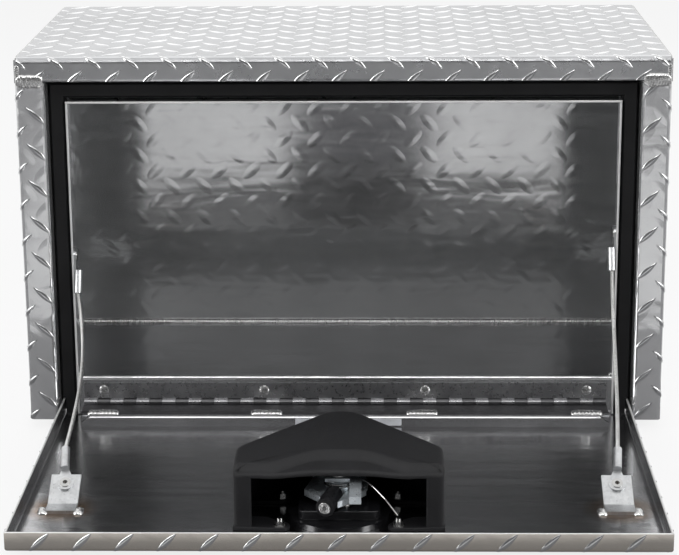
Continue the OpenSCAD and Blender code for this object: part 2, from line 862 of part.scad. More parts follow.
module latch_hood() {
    mouth_x = hood_hw - 12;
    mouth_top = hood_h - 8;
    top = skin_z + hood_h;
    ear_front_in = 35;
    ear_back_in = 40;
    lobe_r = 8;
    color(black) difference() {
        union() {
            difference() {
                along_z(skin_z, top) hood_plan(0);
                along_z(skin_z - 1, top - hood_t) hood_plan(hood_t);
                translate([-hood_hw, hood_front - 1, skin_z - 1])
                    cube([2 * hood_hw, hood_t + 1, hood_h + 2]);
            }
            difference() {
                translate([-hood_hw, hood_front, skin_z]) cube([2 * hood_hw, hood_t, hood_h]);
                translate([-mouth_x, hood_front - 1, skin_z - 1])
                    cube([2 * mouth_x, hood_t + 2, mouth_top + 1]);
            }
            both_sides() {
                translate([ear_front_in, hood_front, skin_z])
                    cube([hood_hw - ear_front_in - 1, 26, flange_t]);
                translate([stud_x, latch[1] - stud_y, skin_z]) cylinder(h = flange_t, r = lobe_r);
                intersection() {
                    along_z(skin_z, skin_z + flange_t) hood_plan(1);
                    translate([ear_back_in, latch[1] + stud_y - 8, skin_z]) cube([hood_hw, 16, flange_t]);
                }
            }
        }
        stud_places() translate([0, 0, skin_z - 1]) cylinder(h = flange_t + 2, r = stud_r + 0.2);
        translate([latch[0], latch[1], skin_z - 1])
            cylinder(h = flange_t + 2, r = dish_r + dish_t + 0.5);
    }
}

module bolt_guide() {
    hw = bolt_hw + 8;
    window = 0.4;
    color(zinc) difference() {
        union() {
            translate([-hw, guide_y, skin_z]) cube([2 * hw, guide_t, bolt_z + bolt_t + 5 - skin_z]);
            translate([-hw, guide_y, skin_z]) cube([2 * hw, 17, guide_t]);
        }
        translate([-bolt_hw - window, guide_y - 1, bolt_z - window])
            cube([2 * (bolt_hw + window), guide_t + 2, bolt_t + 2 * window]);
        guide_rivet_places() translate([0, 0, skin_z - 1]) cylinder(h = guide_t + 2, r = guide_rivet_r);
    }
}

module guide_rivets() {
    head = guide_rivet_r + 1.6;
    color(zinc) guide_rivet_places() {
        translate([0, 0, door_out_z]) cylinder(h = sheet_t + guide_t, r = guide_rivet_r);
        translate([0, 0, skin_z + guide_t]) cylinder(h = 1.4, r = head);
        translate([0, 0, door_out_z - 1]) cylinder(h = 1, r = head);
    }
}

// Bolt: a flat bar with a slot for the shaft and a nose that drops behind the frame's flange
module slide_bolt() {
    slot_r = shaft_r + 0.4;
    nose_z = flange_y + sheet_t - pin[0] + pin_z + 0.5;
    nose_d = 8.5;
    plate_front_y = latch[1] - slot_r - 5;
    tongue = [9, 19];
    color(zinc) difference() {
        union() {
            along_z(bolt_z, bolt_z + bolt_t) polygon([
                [-bolt_hw, plate_front_y], [tongue[0], plate_front_y], [tongue[0], bolt_front_y],
                [tongue[1], bolt_front_y], [tongue[1], plate_front_y],
                [bolt_hw, plate_front_y + 12],
                [bolt_hw, guide_y + guide_t + bolt_travel + 6],
                [-bolt_hw, guide_y + guide_t + bolt_travel + 6]
            ]);
            translate([tongue[0], bolt_front_y, nose_z])
                cube([tongue[1] - tongue[0], nose_d, bolt_z - nose_z + 1]);
        }
        along_z(bolt_z - 1, bolt_z + bolt_t + 1) translate([latch[0], latch[1]]) {
            circle(slot_r);
            translate([0, bolt_travel]) circle(slot_r);
            translate([-slot_r, 0]) square([2 * slot_r, bolt_travel]);
        }
        translate([latch[0], latch[1] + cam_start_r, bolt_z - 1])
            cylinder(h = bolt_t + 2, r = follower_r);
    }
}

module follower_pin() {
    color(zinc) translate([latch[0], latch[1] + cam_start_r, cam_z])
        cylinder(h = bolt_z + bolt_t - cam_z, r = follower_r);
}

module latch_shaft() {
    color(zinc) translate([latch[0], latch[1], shaft_low_z])
        cylinder(h = washer_z + washer_t + nut_h - shaft_low_z, r = shaft_r);
}

module handle_hub() {
    color(zinc) translate([latch[0], latch[1], 0]) difference() {
        translate([0, 0, rim_z]) cylinder(h = dish_floor_z - 0.4 - rim_z, r = hub_r);
        translate([0, 0, rim_z - 1]) cylinder(h = shaft_low_z - rim_z + 1.01, r = lock_r + run_gap);
        translate([0, 0, shaft_low_z]) cylinder(h = 20, r = shaft_r);
        translate([0, 0, handle_z]) rotate([0, 90, 0])
            cylinder(h = 4 * hub_r, r = fold_pin_r, center = true);
    }
}

module handle_pins() {
    start = lock_r + 1;
    color(zinc) both_sides()
        translate([start, latch[1], handle_z]) rotate([0, 90, 0])
            cylinder(h = hub_r + ear_gap + ear_t - start, r = fold_pin_r);
}

module t_handle() {
    outer = hub_r + ear_gap + ear_t;
    bar_r = 4.5;
    bar_len = 44;
    color(zinc) translate([latch[0], latch[1], handle_z]) difference() {
        union() {
            both_sides() {
                translate([hub_r + ear_gap, 0, 0]) rotate([0, 90, 0]) cylinder(h = ear_t, r = 4);
                translate([hub_r + ear_gap, 0, -4]) cube([ear_t, 14, 8]);
            }
            translate([-outer, 12, -4]) cube([2 * outer, 5, 8]);
            translate([-5, 16, -3]) cube([10, 12, 6]);
            translate([-bar_len / 2, 28, 0]) rotate([0, 90, 0]) cylinder(h = bar_len, r = bar_r);
        }
        rotate([0, 90, 0]) cylinder(h = 60, r = fold_pin_r + run_gap, center = true);
    }
}

module lock_cylinder() {
    low = rim_z - 0.5;
    color(zinc) translate([latch[0], latch[1], low]) difference() {
        cylinder(h = shaft_low_z - 0.2 - low, r = lock_r);
        translate([-0.6, -2.6, -1]) cube([1.2, 5.2, 4]);
    }
}

// Cam plate: two wings, a notch for the sleeve, and a slot whose radius falls as the plate turns
function cam_r(turn) = cam_start_r - bolt_travel * turn / 90;
function cam_point(turn, off) =
    let (
        a = 90 - turn,
        out = [cos(a), sin(a)],
        along = unit(-out * bolt_travel / 90 * 180 / PI - left_of(out) * cam_r(turn))
    )
    out * cam_r(turn) + left_of(along) * off;

module cam_plate() {
    slot = follower_r + 0.3;
    rim = 6;
    turns = [for (a = [0:3:90]) a];
    notch = sleeve_r + 0.8;
    notch_turn = atan2(sleeve_to[1] - sleeve_from[1], sleeve_to[0] - sleeve_from[0]);
    color(zinc) translate([latch[0], latch[1], cam_z]) linear_extrude(cam_t) difference() {
        polygon(concat(
            [[-30, -7], [-17, -22], [-2, -35], [3, -31], [23, -7]],
            [for (a = [100:-5:-15]) let (r = cam_r(a) + rim) [r * cos(90 - a), r * sin(90 - a)]],
            [[-22, 26]]
        ));
        circle(pawl_hub_r);
        translate([sleeve_from[0], sleeve_from[1]]) rotate(notch_turn)
            translate([-6, -notch]) square([60, 2 * notch]);
        polygon(concat(
            [for (a = turns) cam_point(a, slot)],
            [for (a = reversed(turns)) cam_point(a, -slot)]
        ));
        translate(cam_point(0, 0)) circle(slot);
        translate(cam_point(90, 0)) circle(slot);
        for (x = [-24, 17]) translate([x, -8]) circle(2.2);
    }
}

module pawl_hub() {
    low = cam_z - 1.6;
    color(zinc) translate([latch[0], latch[1], low]) difference() {
        cylinder(h = bolt_z - hub_gap - low, r = pawl_hub_r);
        translate([0, 0, -1]) cylinder(h = 40, r = shaft_r);
        translate([-latch[0], -latch[1], -low]) at_sleeve()
            translate([0, 0, -screw_in]) cylinder(h = screw_in, r = pawl_screw_r);
    }
}

module at_sleeve() {
    d = sleeve_to - sleeve_from;
    translate([latch[0], latch[1], 0]) translate(sleeve_from)
        rotate([0, acos(d[2] / norm(d)), atan2(d[1], d[0])]) children();
}

module pawl_sleeve() {
    color(black) at_sleeve() difference() {
        cylinder(h = sleeve_len, r = sleeve_r);
        translate([0, 0, -1]) cylinder(h = sleeve_len + 2, r = pawl_screw_r);
    }
}

module pawl_screw() {
    color(zinc) at_sleeve() {
        translate([0, 0, -screw_in]) cylinder(h = screw_in + sleeve_len, r = pawl_screw_r);
        translate([0, 0, sleeve_len]) cylinder(h = 1.2, r = 5.2);
        translate([0, 0, -1]) cylinder(h = 1, r = 5);
    }
}

module cam_washers() {
    color(zinc) translate([latch[0], latch[1], housing_top_z]) difference() {
        union() {
            translate([0, 0, 0.4]) cylinder(h = 1.2, r = 13);
            translate([0, 0, 3.2]) cylinder(h = 1.2, r = 12);
        }
        translate([0, 0, -1]) cylinder(h = 10, r = shaft_r);
    }
}

module shaft_washer() {
    color(zinc) translate([latch[0], latch[1], washer_z]) difference() {
        cylinder(h = washer_t, r = shaft_r + 3.5);
        translate([0, 0, -1]) cylinder(h = 4, r = shaft_r);
    }
}

module shaft_nut() {
    color(zinc) translate([latch[0], latch[1], washer_z + washer_t]) difference() {
        cylinder(h = nut_h, r = shaft_r + 3, $fn = 6);
        translate([0, 0, -1]) cylinder(h = nut_h + 2, r = shaft_r);
    }
}

// Return spring: a coil round the hub and a leg to the right-hand stud
module return_spring() color(zinc) wire(spring_path, wire_r);

top_panel();
left_side_panel();
right_side_panel();
back_panel();
floor_panel();
sill_panel();
top_edge_welds();
frame_corner_welds();
floor_seam_weld();
sill_end_welds();
door_seal();
hinge_fixed_leaf();
hinge_pin();
hinge_screws();
hinge_nuts();
left_upper_terminal();
right_upper_terminal();
upper_rivets();
left_cable();
right_cable();
door_panel();
door_corner_welds();
hinge_rail();
hinge_door_leaf();
hinge_stitch_welds();
left_cable_bracket();
right_cable_bracket();
bracket_welds();
lower_rivets();
left_lower_terminal();
right_lower_terminal();
latch_bezel();
latch_gasket();
latch_dish();
latch_housing();
latch_studs();
latch_nuts();
latch_hood();
bolt_guide();
guide_rivets();
slide_bolt();
follower_pin();
latch_shaft();
handle_hub();
handle_pins();
cam_plate();
pawl_hub();
pawl_sleeve();
pawl_screw();
cam_washers();
shaft_washer();
shaft_nut();
return_spring();
t_handle();
lock_cylinder();
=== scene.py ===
"""Looks for the underbody tool box: tread, welds, ropes, hood, sticker, materials, camera and light."""

import math
import random

import bmesh
import bpy
from mathutils import Matrix, Vector


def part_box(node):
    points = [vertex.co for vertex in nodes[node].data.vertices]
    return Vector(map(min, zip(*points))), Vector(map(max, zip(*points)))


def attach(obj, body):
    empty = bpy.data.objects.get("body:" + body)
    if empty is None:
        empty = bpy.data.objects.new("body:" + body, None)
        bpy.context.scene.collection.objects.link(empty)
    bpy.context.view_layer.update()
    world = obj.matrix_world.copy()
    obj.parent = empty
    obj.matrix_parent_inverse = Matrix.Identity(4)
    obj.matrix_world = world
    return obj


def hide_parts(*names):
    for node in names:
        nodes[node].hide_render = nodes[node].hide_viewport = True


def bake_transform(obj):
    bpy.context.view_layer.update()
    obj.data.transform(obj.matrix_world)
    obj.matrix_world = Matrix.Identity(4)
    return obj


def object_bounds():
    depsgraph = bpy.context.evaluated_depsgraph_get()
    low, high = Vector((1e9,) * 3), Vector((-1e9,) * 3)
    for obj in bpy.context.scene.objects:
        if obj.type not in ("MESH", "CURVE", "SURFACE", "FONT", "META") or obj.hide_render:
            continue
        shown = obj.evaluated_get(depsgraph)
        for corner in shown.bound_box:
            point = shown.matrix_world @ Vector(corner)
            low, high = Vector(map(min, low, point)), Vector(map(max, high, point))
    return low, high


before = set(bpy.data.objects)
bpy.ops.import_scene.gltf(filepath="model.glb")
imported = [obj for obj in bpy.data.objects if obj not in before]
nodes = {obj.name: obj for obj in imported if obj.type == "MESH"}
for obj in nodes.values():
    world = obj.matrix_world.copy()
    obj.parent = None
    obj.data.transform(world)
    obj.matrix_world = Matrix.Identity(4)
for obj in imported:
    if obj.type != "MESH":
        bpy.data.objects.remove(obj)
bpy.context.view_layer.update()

PITCH = 0.0351
DIAGONAL = 0.7071

side_lo, side_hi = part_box("right_side_panel")
top_lo, top_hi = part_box("top_panel")
back_lo, back_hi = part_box("back_panel")
door_lo, door_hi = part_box("door_panel")
rail_lo, rail_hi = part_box("hinge_rail")
hood_lo, hood_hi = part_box("latch_hood")
seal_lo, seal_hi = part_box("door_seal")

WIDE = side_hi.x
FRONT = side_lo.y
BACK = back_hi.y
TOP = top_hi.z
SHEET = back_hi.y - back_lo.y
OPEN_X = seal_hi.x + 0.0004
OPEN_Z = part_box("frame_corner_welds")[0].z + 0.003


# ---- Mesh helpers ----

def add_mesh(name, verts, faces, body, material, smooth=True, replaces=(), ride=True):
    """One piece from points and faces, its body and the CAD nodes it stands for."""
    mesh = bpy.data.meshes.new(name)
    mesh.from_pydata([tuple(v) for v in verts], [], faces)
    bm = bmesh.new()
    bm.from_mesh(mesh)
    bmesh.ops.remove_doubles(bm, verts=bm.verts, dist=1e-6)
    bmesh.ops.recalc_face_normals(bm, faces=bm.faces)
    bm.to_mesh(mesh)
    bm.free()
    obj = bpy.data.objects.new(name, mesh)
    bpy.context.scene.collection.objects.link(obj)
    if smooth:
        mesh.polygons.foreach_set("use_smooth", [True] * len(mesh.polygons))
    mesh.materials.append(material)
    if ride:
        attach(obj, body)
    if replaces:
        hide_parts(*replaces)
    return obj


def grid_faces(rows, cols, base=0, close_cols=False):
    """Quads over a grid of points, from the point numbered base."""
    faces = []
    for i in range(rows - 1):
        for j in range(cols - (0 if close_cols else 1)):
            k = (j + 1) % cols
            faces.append((base + i * cols + j, base + i * cols + k,
                          base + (i + 1) * cols + k, base + (i + 1) * cols + j))
    return faces


# ---- Materials ----

class Nodes:
    """Short calls for building one material's node tree."""

    def __init__(self, name):
        self.mat = bpy.data.materials.new(name)
        self.mat.use_nodes = True
        self.tree = self.mat.node_tree
        self.bsdf = self.tree.nodes["Principled BSDF"]
        self.coord = self.tree.nodes.new("ShaderNodeTexCoord")

    def new(self, kind, **values):
        n = self.tree.nodes.new(kind)
        for key, value in values.items():
            setattr(n, key, value)
        return n

    def link(self, a, b):
        self.tree.links.new(a, b)

    def value(self, x, socket):
        if hasattr(x, "is_linked"):
            self.link(x, socket)
        else:
            socket.default_value = x

    def math(self, op, a, b=0.0, c=0.0):
        n = self.new("ShaderNodeMath", operation=op)
        self.value(a, n.inputs[0])
        self.value(b, n.inputs[1])
        self.value(c, n.inputs[2])
        return n.outputs[0]

    def mapped(self, scale):
        n = self.new("ShaderNodeMapping")
        self.link(self.coord.outputs["Object"], n.inputs["Vector"])
        n.inputs["Scale"].default_value = scale
        return n.outputs["Vector"]

    def noise(self, scale, detail=3.0, rough=0.5, stretch=(1, 1, 1), distortion=0.0):
        n = self.new("ShaderNodeTexNoise")
        n.inputs["Scale"].default_value = scale
        n.inputs["Detail"].default_value = detail
        n.inputs["Roughness"].default_value = rough
        n.inputs["Distortion"].default_value = distortion
        self.link(self.mapped(stretch), n.inputs["Vector"])
        return n.outputs["Fac"]

    def ramp(self, source, stops):
        n = self.new("ShaderNodeValToRGB")
        while len(n.color_ramp.elements) < len(stops):
            n.color_ramp.elements.new(0.5)
        for e, (at, c) in zip(n.color_ramp.elements, stops):
            e.position = at
            e.color = (*c, 1) if hasattr(c, "__len__") else (c, c, c, 1)
        self.link(source, n.inputs["Fac"])
        return n.outputs["Color"]

    def scaled(self, source, low, high, a, b):
        n = self.new("ShaderNodeMapRange")
        self.link(source, n.inputs["Value"])
        for i, v in zip(("From Min", "From Max", "To Min", "To Max"), (low, high, a, b)):
            n.inputs[i].default_value = v
        return n.outputs["Result"]

    def mix(self, fac, a, b):
        n = self.new("ShaderNodeMix", data_type="RGBA")
        self.value(fac, n.inputs["Factor"])
        for x, s in ((a, n.inputs[6]), (b, n.inputs[7])):
            if isinstance(x, tuple):
                s.default_value = (*x, 1) if len(x) == 3 else x
            else:
                self.link(x, s)
        return n.outputs[2]

    def bump(self, height, distance, strength=1.0, normal=None):
        n = self.new("ShaderNodeBump")
        n.inputs["Strength"].default_value = strength
        n.inputs["Distance"].default_value = distance
        self.link(height, n.inputs["Height"])
        if normal is not None:
            self.link(normal, n.inputs["Normal"])
        return n.outputs["Normal"]

    def set(self, **inputs):
        for key, x in inputs.items():
            socket = self.bsdf.inputs[key.replace("_", " ")]
            if isinstance(x, tuple):
                socket.default_value = (*x, 1) if len(x) == 3 else x
            elif isinstance(x, (int, float)):
                socket.default_value = x
            else:
                self.link(x, socket)
        return self.mat


def plate_coordinates(m):
    """The two in-plane coordinates of a flat plate square to any row axis."""
    normal = m.new("ShaderNodeSeparateXYZ")
    m.link(m.coord.outputs["Normal"], normal.inputs[0])
    place = m.new("ShaderNodeSeparateXYZ")
    m.link(m.coord.outputs["Object"], place.inputs[0])
    side = m.math("GREATER_THAN", m.math("ABSOLUTE", normal.outputs["X"]), 0.7)
    flat = m.math("GREATER_THAN", m.math("ABSOLUTE", normal.outputs["Z"]), 0.7)

    def pick(fac, a, b):
        return m.math("ADD", m.math("MULTIPLY", a, m.math("SUBTRACT", 1.0, fac)),
                      m.math("MULTIPLY", b, fac))

    a = pick(side, place.outputs["X"], place.outputs["Y"])
    b = pick(flat, place.outputs["Z"], place.outputs["Y"])
    return a, b


def print_through(m):
    """Height from 0 to 1 of the tread pattern as it shows on a plate's smooth side."""
    a, b = plate_coordinates(m)
    heights = []
    for shift, sign in ((0.0, 1.0), (0.5, -1.0)):
        u = m.math("SUBTRACT", m.math("FRACT", m.math("ADD", m.math("DIVIDE", a, PITCH), shift)), 0.5)
        v = m.math("SUBTRACT", m.math("FRACT", m.math("ADD", m.math("DIVIDE", b, PITCH), shift)), 0.5)
        v = m.math("MULTIPLY", v, sign)
        along = m.math("MULTIPLY", m.math("SUBTRACT", u, v), DIAGONAL / 0.36)
        across = m.math("MULTIPLY", m.math("ADD", u, v), DIAGONAL / 0.16)
        d = m.math("SQRT", m.math("ADD", m.math("MULTIPLY", along, along),
                                  m.math("MULTIPLY", across, across)))
        heights.append(m.scaled(d, 0.0, 1.0, 1.0, 0.0))
    total = m.math("ADD", *heights)
    return m.math("SMOOTH_MIN", total, 1.0, 0.3)


def aluminium(name, tone, rough, print_depth=0.0, wave=0.0, streak=(1, 1, 1), dirt=0.0):
    m = Nodes(name)
    cloud = m.noise(9.0, 4.0, 0.6, (1, 1, 1), 0.4)
    lines = m.noise(55.0, 5.0, 0.65, streak)
    tint = m.ramp(cloud, [(0.32, tuple(c * 0.84 for c in tone)), (0.7, tone)])
    if dirt:
        spots = m.noise(240.0, 2.0, 0.6, streak)
        tint = m.mix(m.scaled(spots, 0.62, 0.8, 0.0, dirt), tint, tuple(c * 0.3 for c in tone))
    height = m.math("MULTIPLY", lines, 0.25)
    normal = m.bump(height, 0.0002, 0.35)
    if wave:
        normal = m.bump(m.noise(16.0, 2.0, 0.5, streak, 0.3), wave, 1.0, normal)
    if print_depth:
        normal = m.bump(print_through(m), print_depth, 1.0, normal)
    return m.set(Base_Color=tint, Metallic=1.0, Normal=normal,
                 Roughness=m.scaled(lines, 0.3, 0.75, rough * 0.8, rough * 1.25))


def steel(name, tone, rough, grain=300.0, spangle=0.0, bump=0.00006):
    m = Nodes(name)
    cloud = m.noise(60.0, 4.0, 0.6)
    tint = m.ramp(cloud, [(0.3, tuple(c * 0.72 for c in tone)), (0.72, tone)])
    if spangle:
        cells = m.new("ShaderNodeTexVoronoi")
        cells.inputs["Scale"].default_value = 420.0
        m.link(m.coord.outputs["Object"], cells.inputs["Vector"])
        grey = m.new("ShaderNodeRGBToBW")
        m.link(cells.outputs["Color"], grey.inputs[0])
        tint = m.mix(m.scaled(grey.outputs[0], 0.0, 1.0, 0.0, spangle), tint,
                     tuple(min(1.0, c * 1.5) for c in tone))
    fine = m.noise(grain, 3.0, 0.6)
    return m.set(Base_Color=tint, Metallic=1.0, Normal=m.bump(fine, bump, 0.6),
                 Roughness=m.scaled(fine, 0.3, 0.7, rough * 0.75, rough * 1.3))


def black(name, tone, rough, grain=900.0, depth=0.00012, coat=0.0, strength=0.5):
    m = Nodes(name)
    fine = m.noise(grain, 3.0, 0.55)
    dust = m.noise(35.0, 4.0, 0.6)
    tint = m.ramp(dust, [(0.35, tone), (0.8, tuple(c * 1.7 for c in tone))])
    m.bsdf.inputs["Coat Weight"].default_value = coat
    m.bsdf.inputs["Coat Roughness"].default_value = 0.12
    return m.set(Base_Color=tint, Metallic=0.0, Normal=m.bump(fine, depth, strength),
                 Roughness=m.scaled(fine, 0.3, 0.7, rough * 0.85, rough * 1.15))


def constant(mat, name, value):
    mat.node_tree.nodes["Principled BSDF"].inputs[name].default_value = value


BRIGHT = (0.56, 0.565, 0.575)
mat_tread = aluminium("tread_plate", BRIGHT, 0.3, 0.00012, 0.0004, (1, 1, 1))
mat_back = aluminium("back_plate", (0.76, 0.765, 0.77), 0.13, 0.00016, 0.0007, (0.5, 1, 2.2))
constant(mat_back, "Metallic", 0.82)
mat_floor = aluminium("floor_plate", (0.66, 0.665, 0.675), 0.17, 0.0001, 0.0005, (0.35, 2.2, 2.2), 0.2)
mat_roll = aluminium("sill_plate", (0.74, 0.745, 0.75), 0.2, 0.00012, 0.0006, (1.6, 2.2, 2.2))
mat_door = aluminium("door_plate", (0.6, 0.6, 0.61), 0.2, 0.00006, 0.0006, (0.3, 2.5, 1), 0.45)
mat_rail = aluminium("rail_plate", (0.6, 0.6, 0.61), 0.22, 0.0, 0.0004, (0.3, 2.5, 1), 0.3)
mat_edge = aluminium("cut_edge", (0.9, 0.9, 0.89), 0.36)
constant(mat_edge, "Metallic", 0.55)


def heat_marks_and_painted_lip_reflection(mat):
    """Brown heat marks round the welded straps, and a painted reflection: a warm tone on the faces that
    look forward, standing in for what the lip mirrors.
    """
    tree = mat.node_tree
    bsdf = tree.nodes["Principled BSDF"]
    plain = bsdf.inputs["Base Color"].links[0].from_socket
    strap_low, strap_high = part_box("right_cable_bracket")

    def node(kind, **values):
        n = tree.nodes.new(kind)
        for key, value in values.items():
            setattr(n, key, value)
        return n

    coord = node("ShaderNodeTexCoord")
    fold = node("ShaderNodeVectorMath", operation="ABSOLUTE")
    tree.links.new(coord.outputs["Object"], fold.inputs[0])
    off = node("ShaderNodeVectorMath", operation="SUBTRACT")
    tree.links.new(fold.outputs[0], off.inputs[0])
    off.inputs[1].default_value = ((strap_low.x + strap_high.x) / 2, -(strap_low.y + 0.012), 0)
    far = node("ShaderNodeVectorMath", operation="LENGTH")
    tree.links.new(off.outputs[0], far.inputs[0])
    cloud = node("ShaderNodeTexNoise")
    cloud.inputs["Scale"].default_value = 60.0
    tree.links.new(coord.outputs["Object"], cloud.inputs["Vector"])
    heat = node("ShaderNodeMapRange")
    heat.inputs["From Min"].default_value = 0.034
    heat.inputs["From Max"].default_value = 0.018
    heat.inputs["To Max"].default_value = 1.3
    tree.links.new(far.outputs["Value"], heat.inputs["Value"])
    patchy = node("ShaderNodeMath", operation="MULTIPLY")
    tree.links.new(heat.outputs[0], patchy.inputs[0])
    tree.links.new(cloud.outputs["Fac"], patchy.inputs[1])
    browned = node("ShaderNodeMix", data_type="RGBA")
    tree.links.new(patchy.outputs[0], browned.inputs["Factor"])
    tree.links.new(plain, browned.inputs[6])
    browned.inputs[7].default_value = (0.34, 0.2, 0.1, 1)
    # Painted reflection: faces whose normal points forward get a warm tone in place of the reflection the
    # lip shows.
    split = node("ShaderNodeSeparateXYZ")
    tree.links.new(coord.outputs["Normal"], split.inputs[0])
    forward = node("ShaderNodeMath", operation="LESS_THAN")
    tree.links.new(split.outputs["Y"], forward.inputs[0])
    forward.inputs[1].default_value = -0.7
    painted_lip_reflection = node("ShaderNodeMix", data_type="RGBA")
    tree.links.new(forward.outputs[0], painted_lip_reflection.inputs["Factor"])
    tree.links.new(browned.outputs[2], painted_lip_reflection.inputs[6])
    painted_lip_reflection.inputs[7].default_value = (0.7, 0.655, 0.59, 1)
    tree.links.new(painted_lip_reflection.outputs[2], bsdf.inputs["Base Color"])


heat_marks_and_painted_lip_reflection(mat_door)
mat_bump = aluminium("tread_bumps", (0.72, 0.725, 0.73), 0.2, 0.0, 0.0002)
mat_weld = steel("weld_beads", (0.7, 0.7, 0.69), 0.24, 700.0, 0.3, 0.0001)
mat_hinge = steel("hinge_leaves", (0.42, 0.42, 0.43), 0.3, 260.0)
# Painted shade: the door's hinge leaf is the same steel as the fixed leaf, given a darker tone to stand in
# for the shade and dark reflection it shows.
mat_hinge_painted_shade = steel("hinge_door_leaf", (0.16, 0.16, 0.165), 0.4, 260.0)
mat_fastener = steel("fasteners", (0.72, 0.72, 0.71), 0.22, 900.0)
mat_terminal = steel("terminals", (0.66, 0.67, 0.68), 0.34, 500.0, 0.25)
mat_rope = steel("rope_wires", (0.62, 0.62, 0.61), 0.3, 900.0)
mat_latch = steel("latch_steel", (0.66, 0.72, 0.76), 0.33, 500.0, 0.22)
constant(mat_latch, "Metallic", 0.7)
mat_seal = black("seal_rubber", (0.006, 0.006, 0.0065), 0.45, 700.0, 0.00008)
constant(mat_seal, "Specular IOR Level", 0.3)
mat_hood = black("hood_grain", (0.006, 0.006, 0.007), 0.56, 1300.0, 0.00035, 0.0, 0.9)
constant(mat_hood, "Specular IOR Level", 0.36)
mat_gloss = black("black_gloss", (0.008, 0.008, 0.009), 0.2, 300.0, 0.00003, 0.6)
mat_sleeve = black("sleeve_rubber", (0.01, 0.01, 0.011), 0.3, 900.0, 0.00006)
mat_sticker = black("blank_sticker", (0.42, 0.43, 0.45), 0.4, 300.0, 0.00002)

SHOWN = {
    "top_panel": mat_tread, "left_side_panel": mat_back, "right_side_panel": mat_back,
    "back_panel": mat_back, "floor_panel": mat_floor, "sill_panel": mat_roll, "door_panel": mat_door,
    "hinge_rail": mat_rail, "hinge_fixed_leaf": mat_hinge, "hinge_door_leaf": mat_hinge_painted_shade,
    "hinge_pin": mat_hinge, "hinge_screws": mat_fastener, "hinge_nuts": mat_fastener,
    "upper_rivets": mat_fastener, "lower_rivets": mat_fastener, "guide_rivets": mat_fastener,
    "latch_studs": mat_fastener, "latch_nuts": mat_fastener, "shaft_washer": mat_fastener,
    "shaft_nut": mat_fastener, "pawl_screw": mat_fastener, "return_spring": mat_fastener,
    "cam_washers": mat_fastener, "handle_pins": mat_fastener, "door_seal": mat_seal,
    "latch_bezel": mat_gloss, "latch_dish": mat_gloss, "latch_housing": mat_gloss,
    "latch_gasket": mat_sleeve, "pawl_sleeve": mat_sleeve,
}
for terminal in ("left_upper_terminal", "right_upper_terminal", "left_lower_terminal",
                 "right_lower_terminal", "left_cable_bracket", "right_cable_bracket"):
    SHOWN[terminal] = mat_terminal
for name in ("bolt_guide", "slide_bolt", "follower_pin", "latch_shaft", "handle_hub", "cam_plate",
             "pawl_hub", "t_handle", "lock_cylinder"):
    SHOWN[name] = mat_latch
for name, material in SHOWN.items():
    nodes[name].data.materials.clear()
    nodes[name].data.materials.append(material)


# ---- Tread ----

class Flat:
    """A plate's outer face that runs from a corner, a along u and b along v."""

    def __init__(self, corner, u, v, wide, high):
        self.corner, self.u, self.v = Vector(corner), Vector(u), Vector(v)
        self.normal = self.u.cross(self.v).normalized()
        self.wide, self.high = wide, high

    def at(self, a, b, h):
        return self.corner + self.u * a + self.v * b + self.normal * h


ARC_STEPS = 8


class Bent:
    """A plate's outer face whose section is a path with round corners, drawn out along u."""

    def __init__(self, start, u, path, radii, wide, to_3d):
        self.start, self.u, self.wide, self.to_3d = start, Vector(u), wide, to_3d
        line = []
        for i, p in enumerate(path):
            p = Vector(p)
            if i in (0, len(path) - 1):
                line.append(p)
                continue
            before, after = Vector(path[i - 1]), Vector(path[i + 1])
            d0, d1 = (p - before).normalized(), (after - p).normalized()
            turn = math.atan2(d0.x * d1.y - d0.y * d1.x, d0.dot(d1))
            r = radii[i]
            s = p - d0 * r * math.tan(abs(turn) / 2)
            side = 1 if turn > 0 else -1
            c = s + Vector((-d0.y, d0.x)) * r * side
            for k in range(ARC_STEPS + 1):
                a = turn * k / ARC_STEPS
                q = s - c
                line.append(c + Vector((q.x * math.cos(a) - q.y * math.sin(a),
                                        q.x * math.sin(a) + q.y * math.cos(a))))
        self.points = line
        self.lengths = [0.0]
        for p, q in zip(self.points, self.points[1:]):
            self.lengths.append(self.lengths[-1] + (q - p).length)
        self.high = self.lengths[-1]
        self.flip = 1.0

    def at(self, a, b, h):
        b = min(max(b, 0.0), self.high)
        i = 0
        while i < len(self.lengths) - 2 and self.lengths[i + 1] < b:
            i += 1
        p, q = self.points[i], self.points[i + 1]
        t = (b - self.lengths[i]) / max(1e-9, (q - p).length)

        def tangent(k):
            lo, hi = max(k - 1, 0), min(k + 1, len(self.points) - 1)
            return (self.points[hi] - self.points[lo]).normalized()

        d = (tangent(i) * (1 - t) + tangent(i + 1) * t).normalized()
        n = Vector((-d.y, d.x)) * self.flip
        place = p + (q - p) * t + n * h
        return Vector(self.to_3d(place.x, place.y)) + self.u * (self.start + a)


DIAMOND_LEN, DIAMOND_WIDE, DIAMOND_HIGH = 0.0262, 0.0054, 0.00095
ALONG, ACROSS = 9, 5
SPARE_CELLS = 2
TREAD_REACH = 0.011
TREAD_MARGIN = 0.0006
PAN_EDGE = 0.0035


def diamond_points():
    """Outline grid of one raised lozenge, as (along, across, height)."""
    rows = []
    for i in range(ALONG):
        t = -1 + 2 * i / (ALONG - 1)
        half = DIAMOND_WIDE / 2 * max(0.0, 1 - abs(t) ** 1.7) ** 0.85
        rise = DIAMOND_HIGH * max(0.0, 1 - t ** 4) ** 0.6
        rows.append([(t * DIAMOND_LEN / 2, half * s, rise * (1 - abs(s) ** 3) - 0.00004)
                     for s in (-1, -0.7, 0, 0.7, 1)])
    return rows


SHAPE = diamond_points()


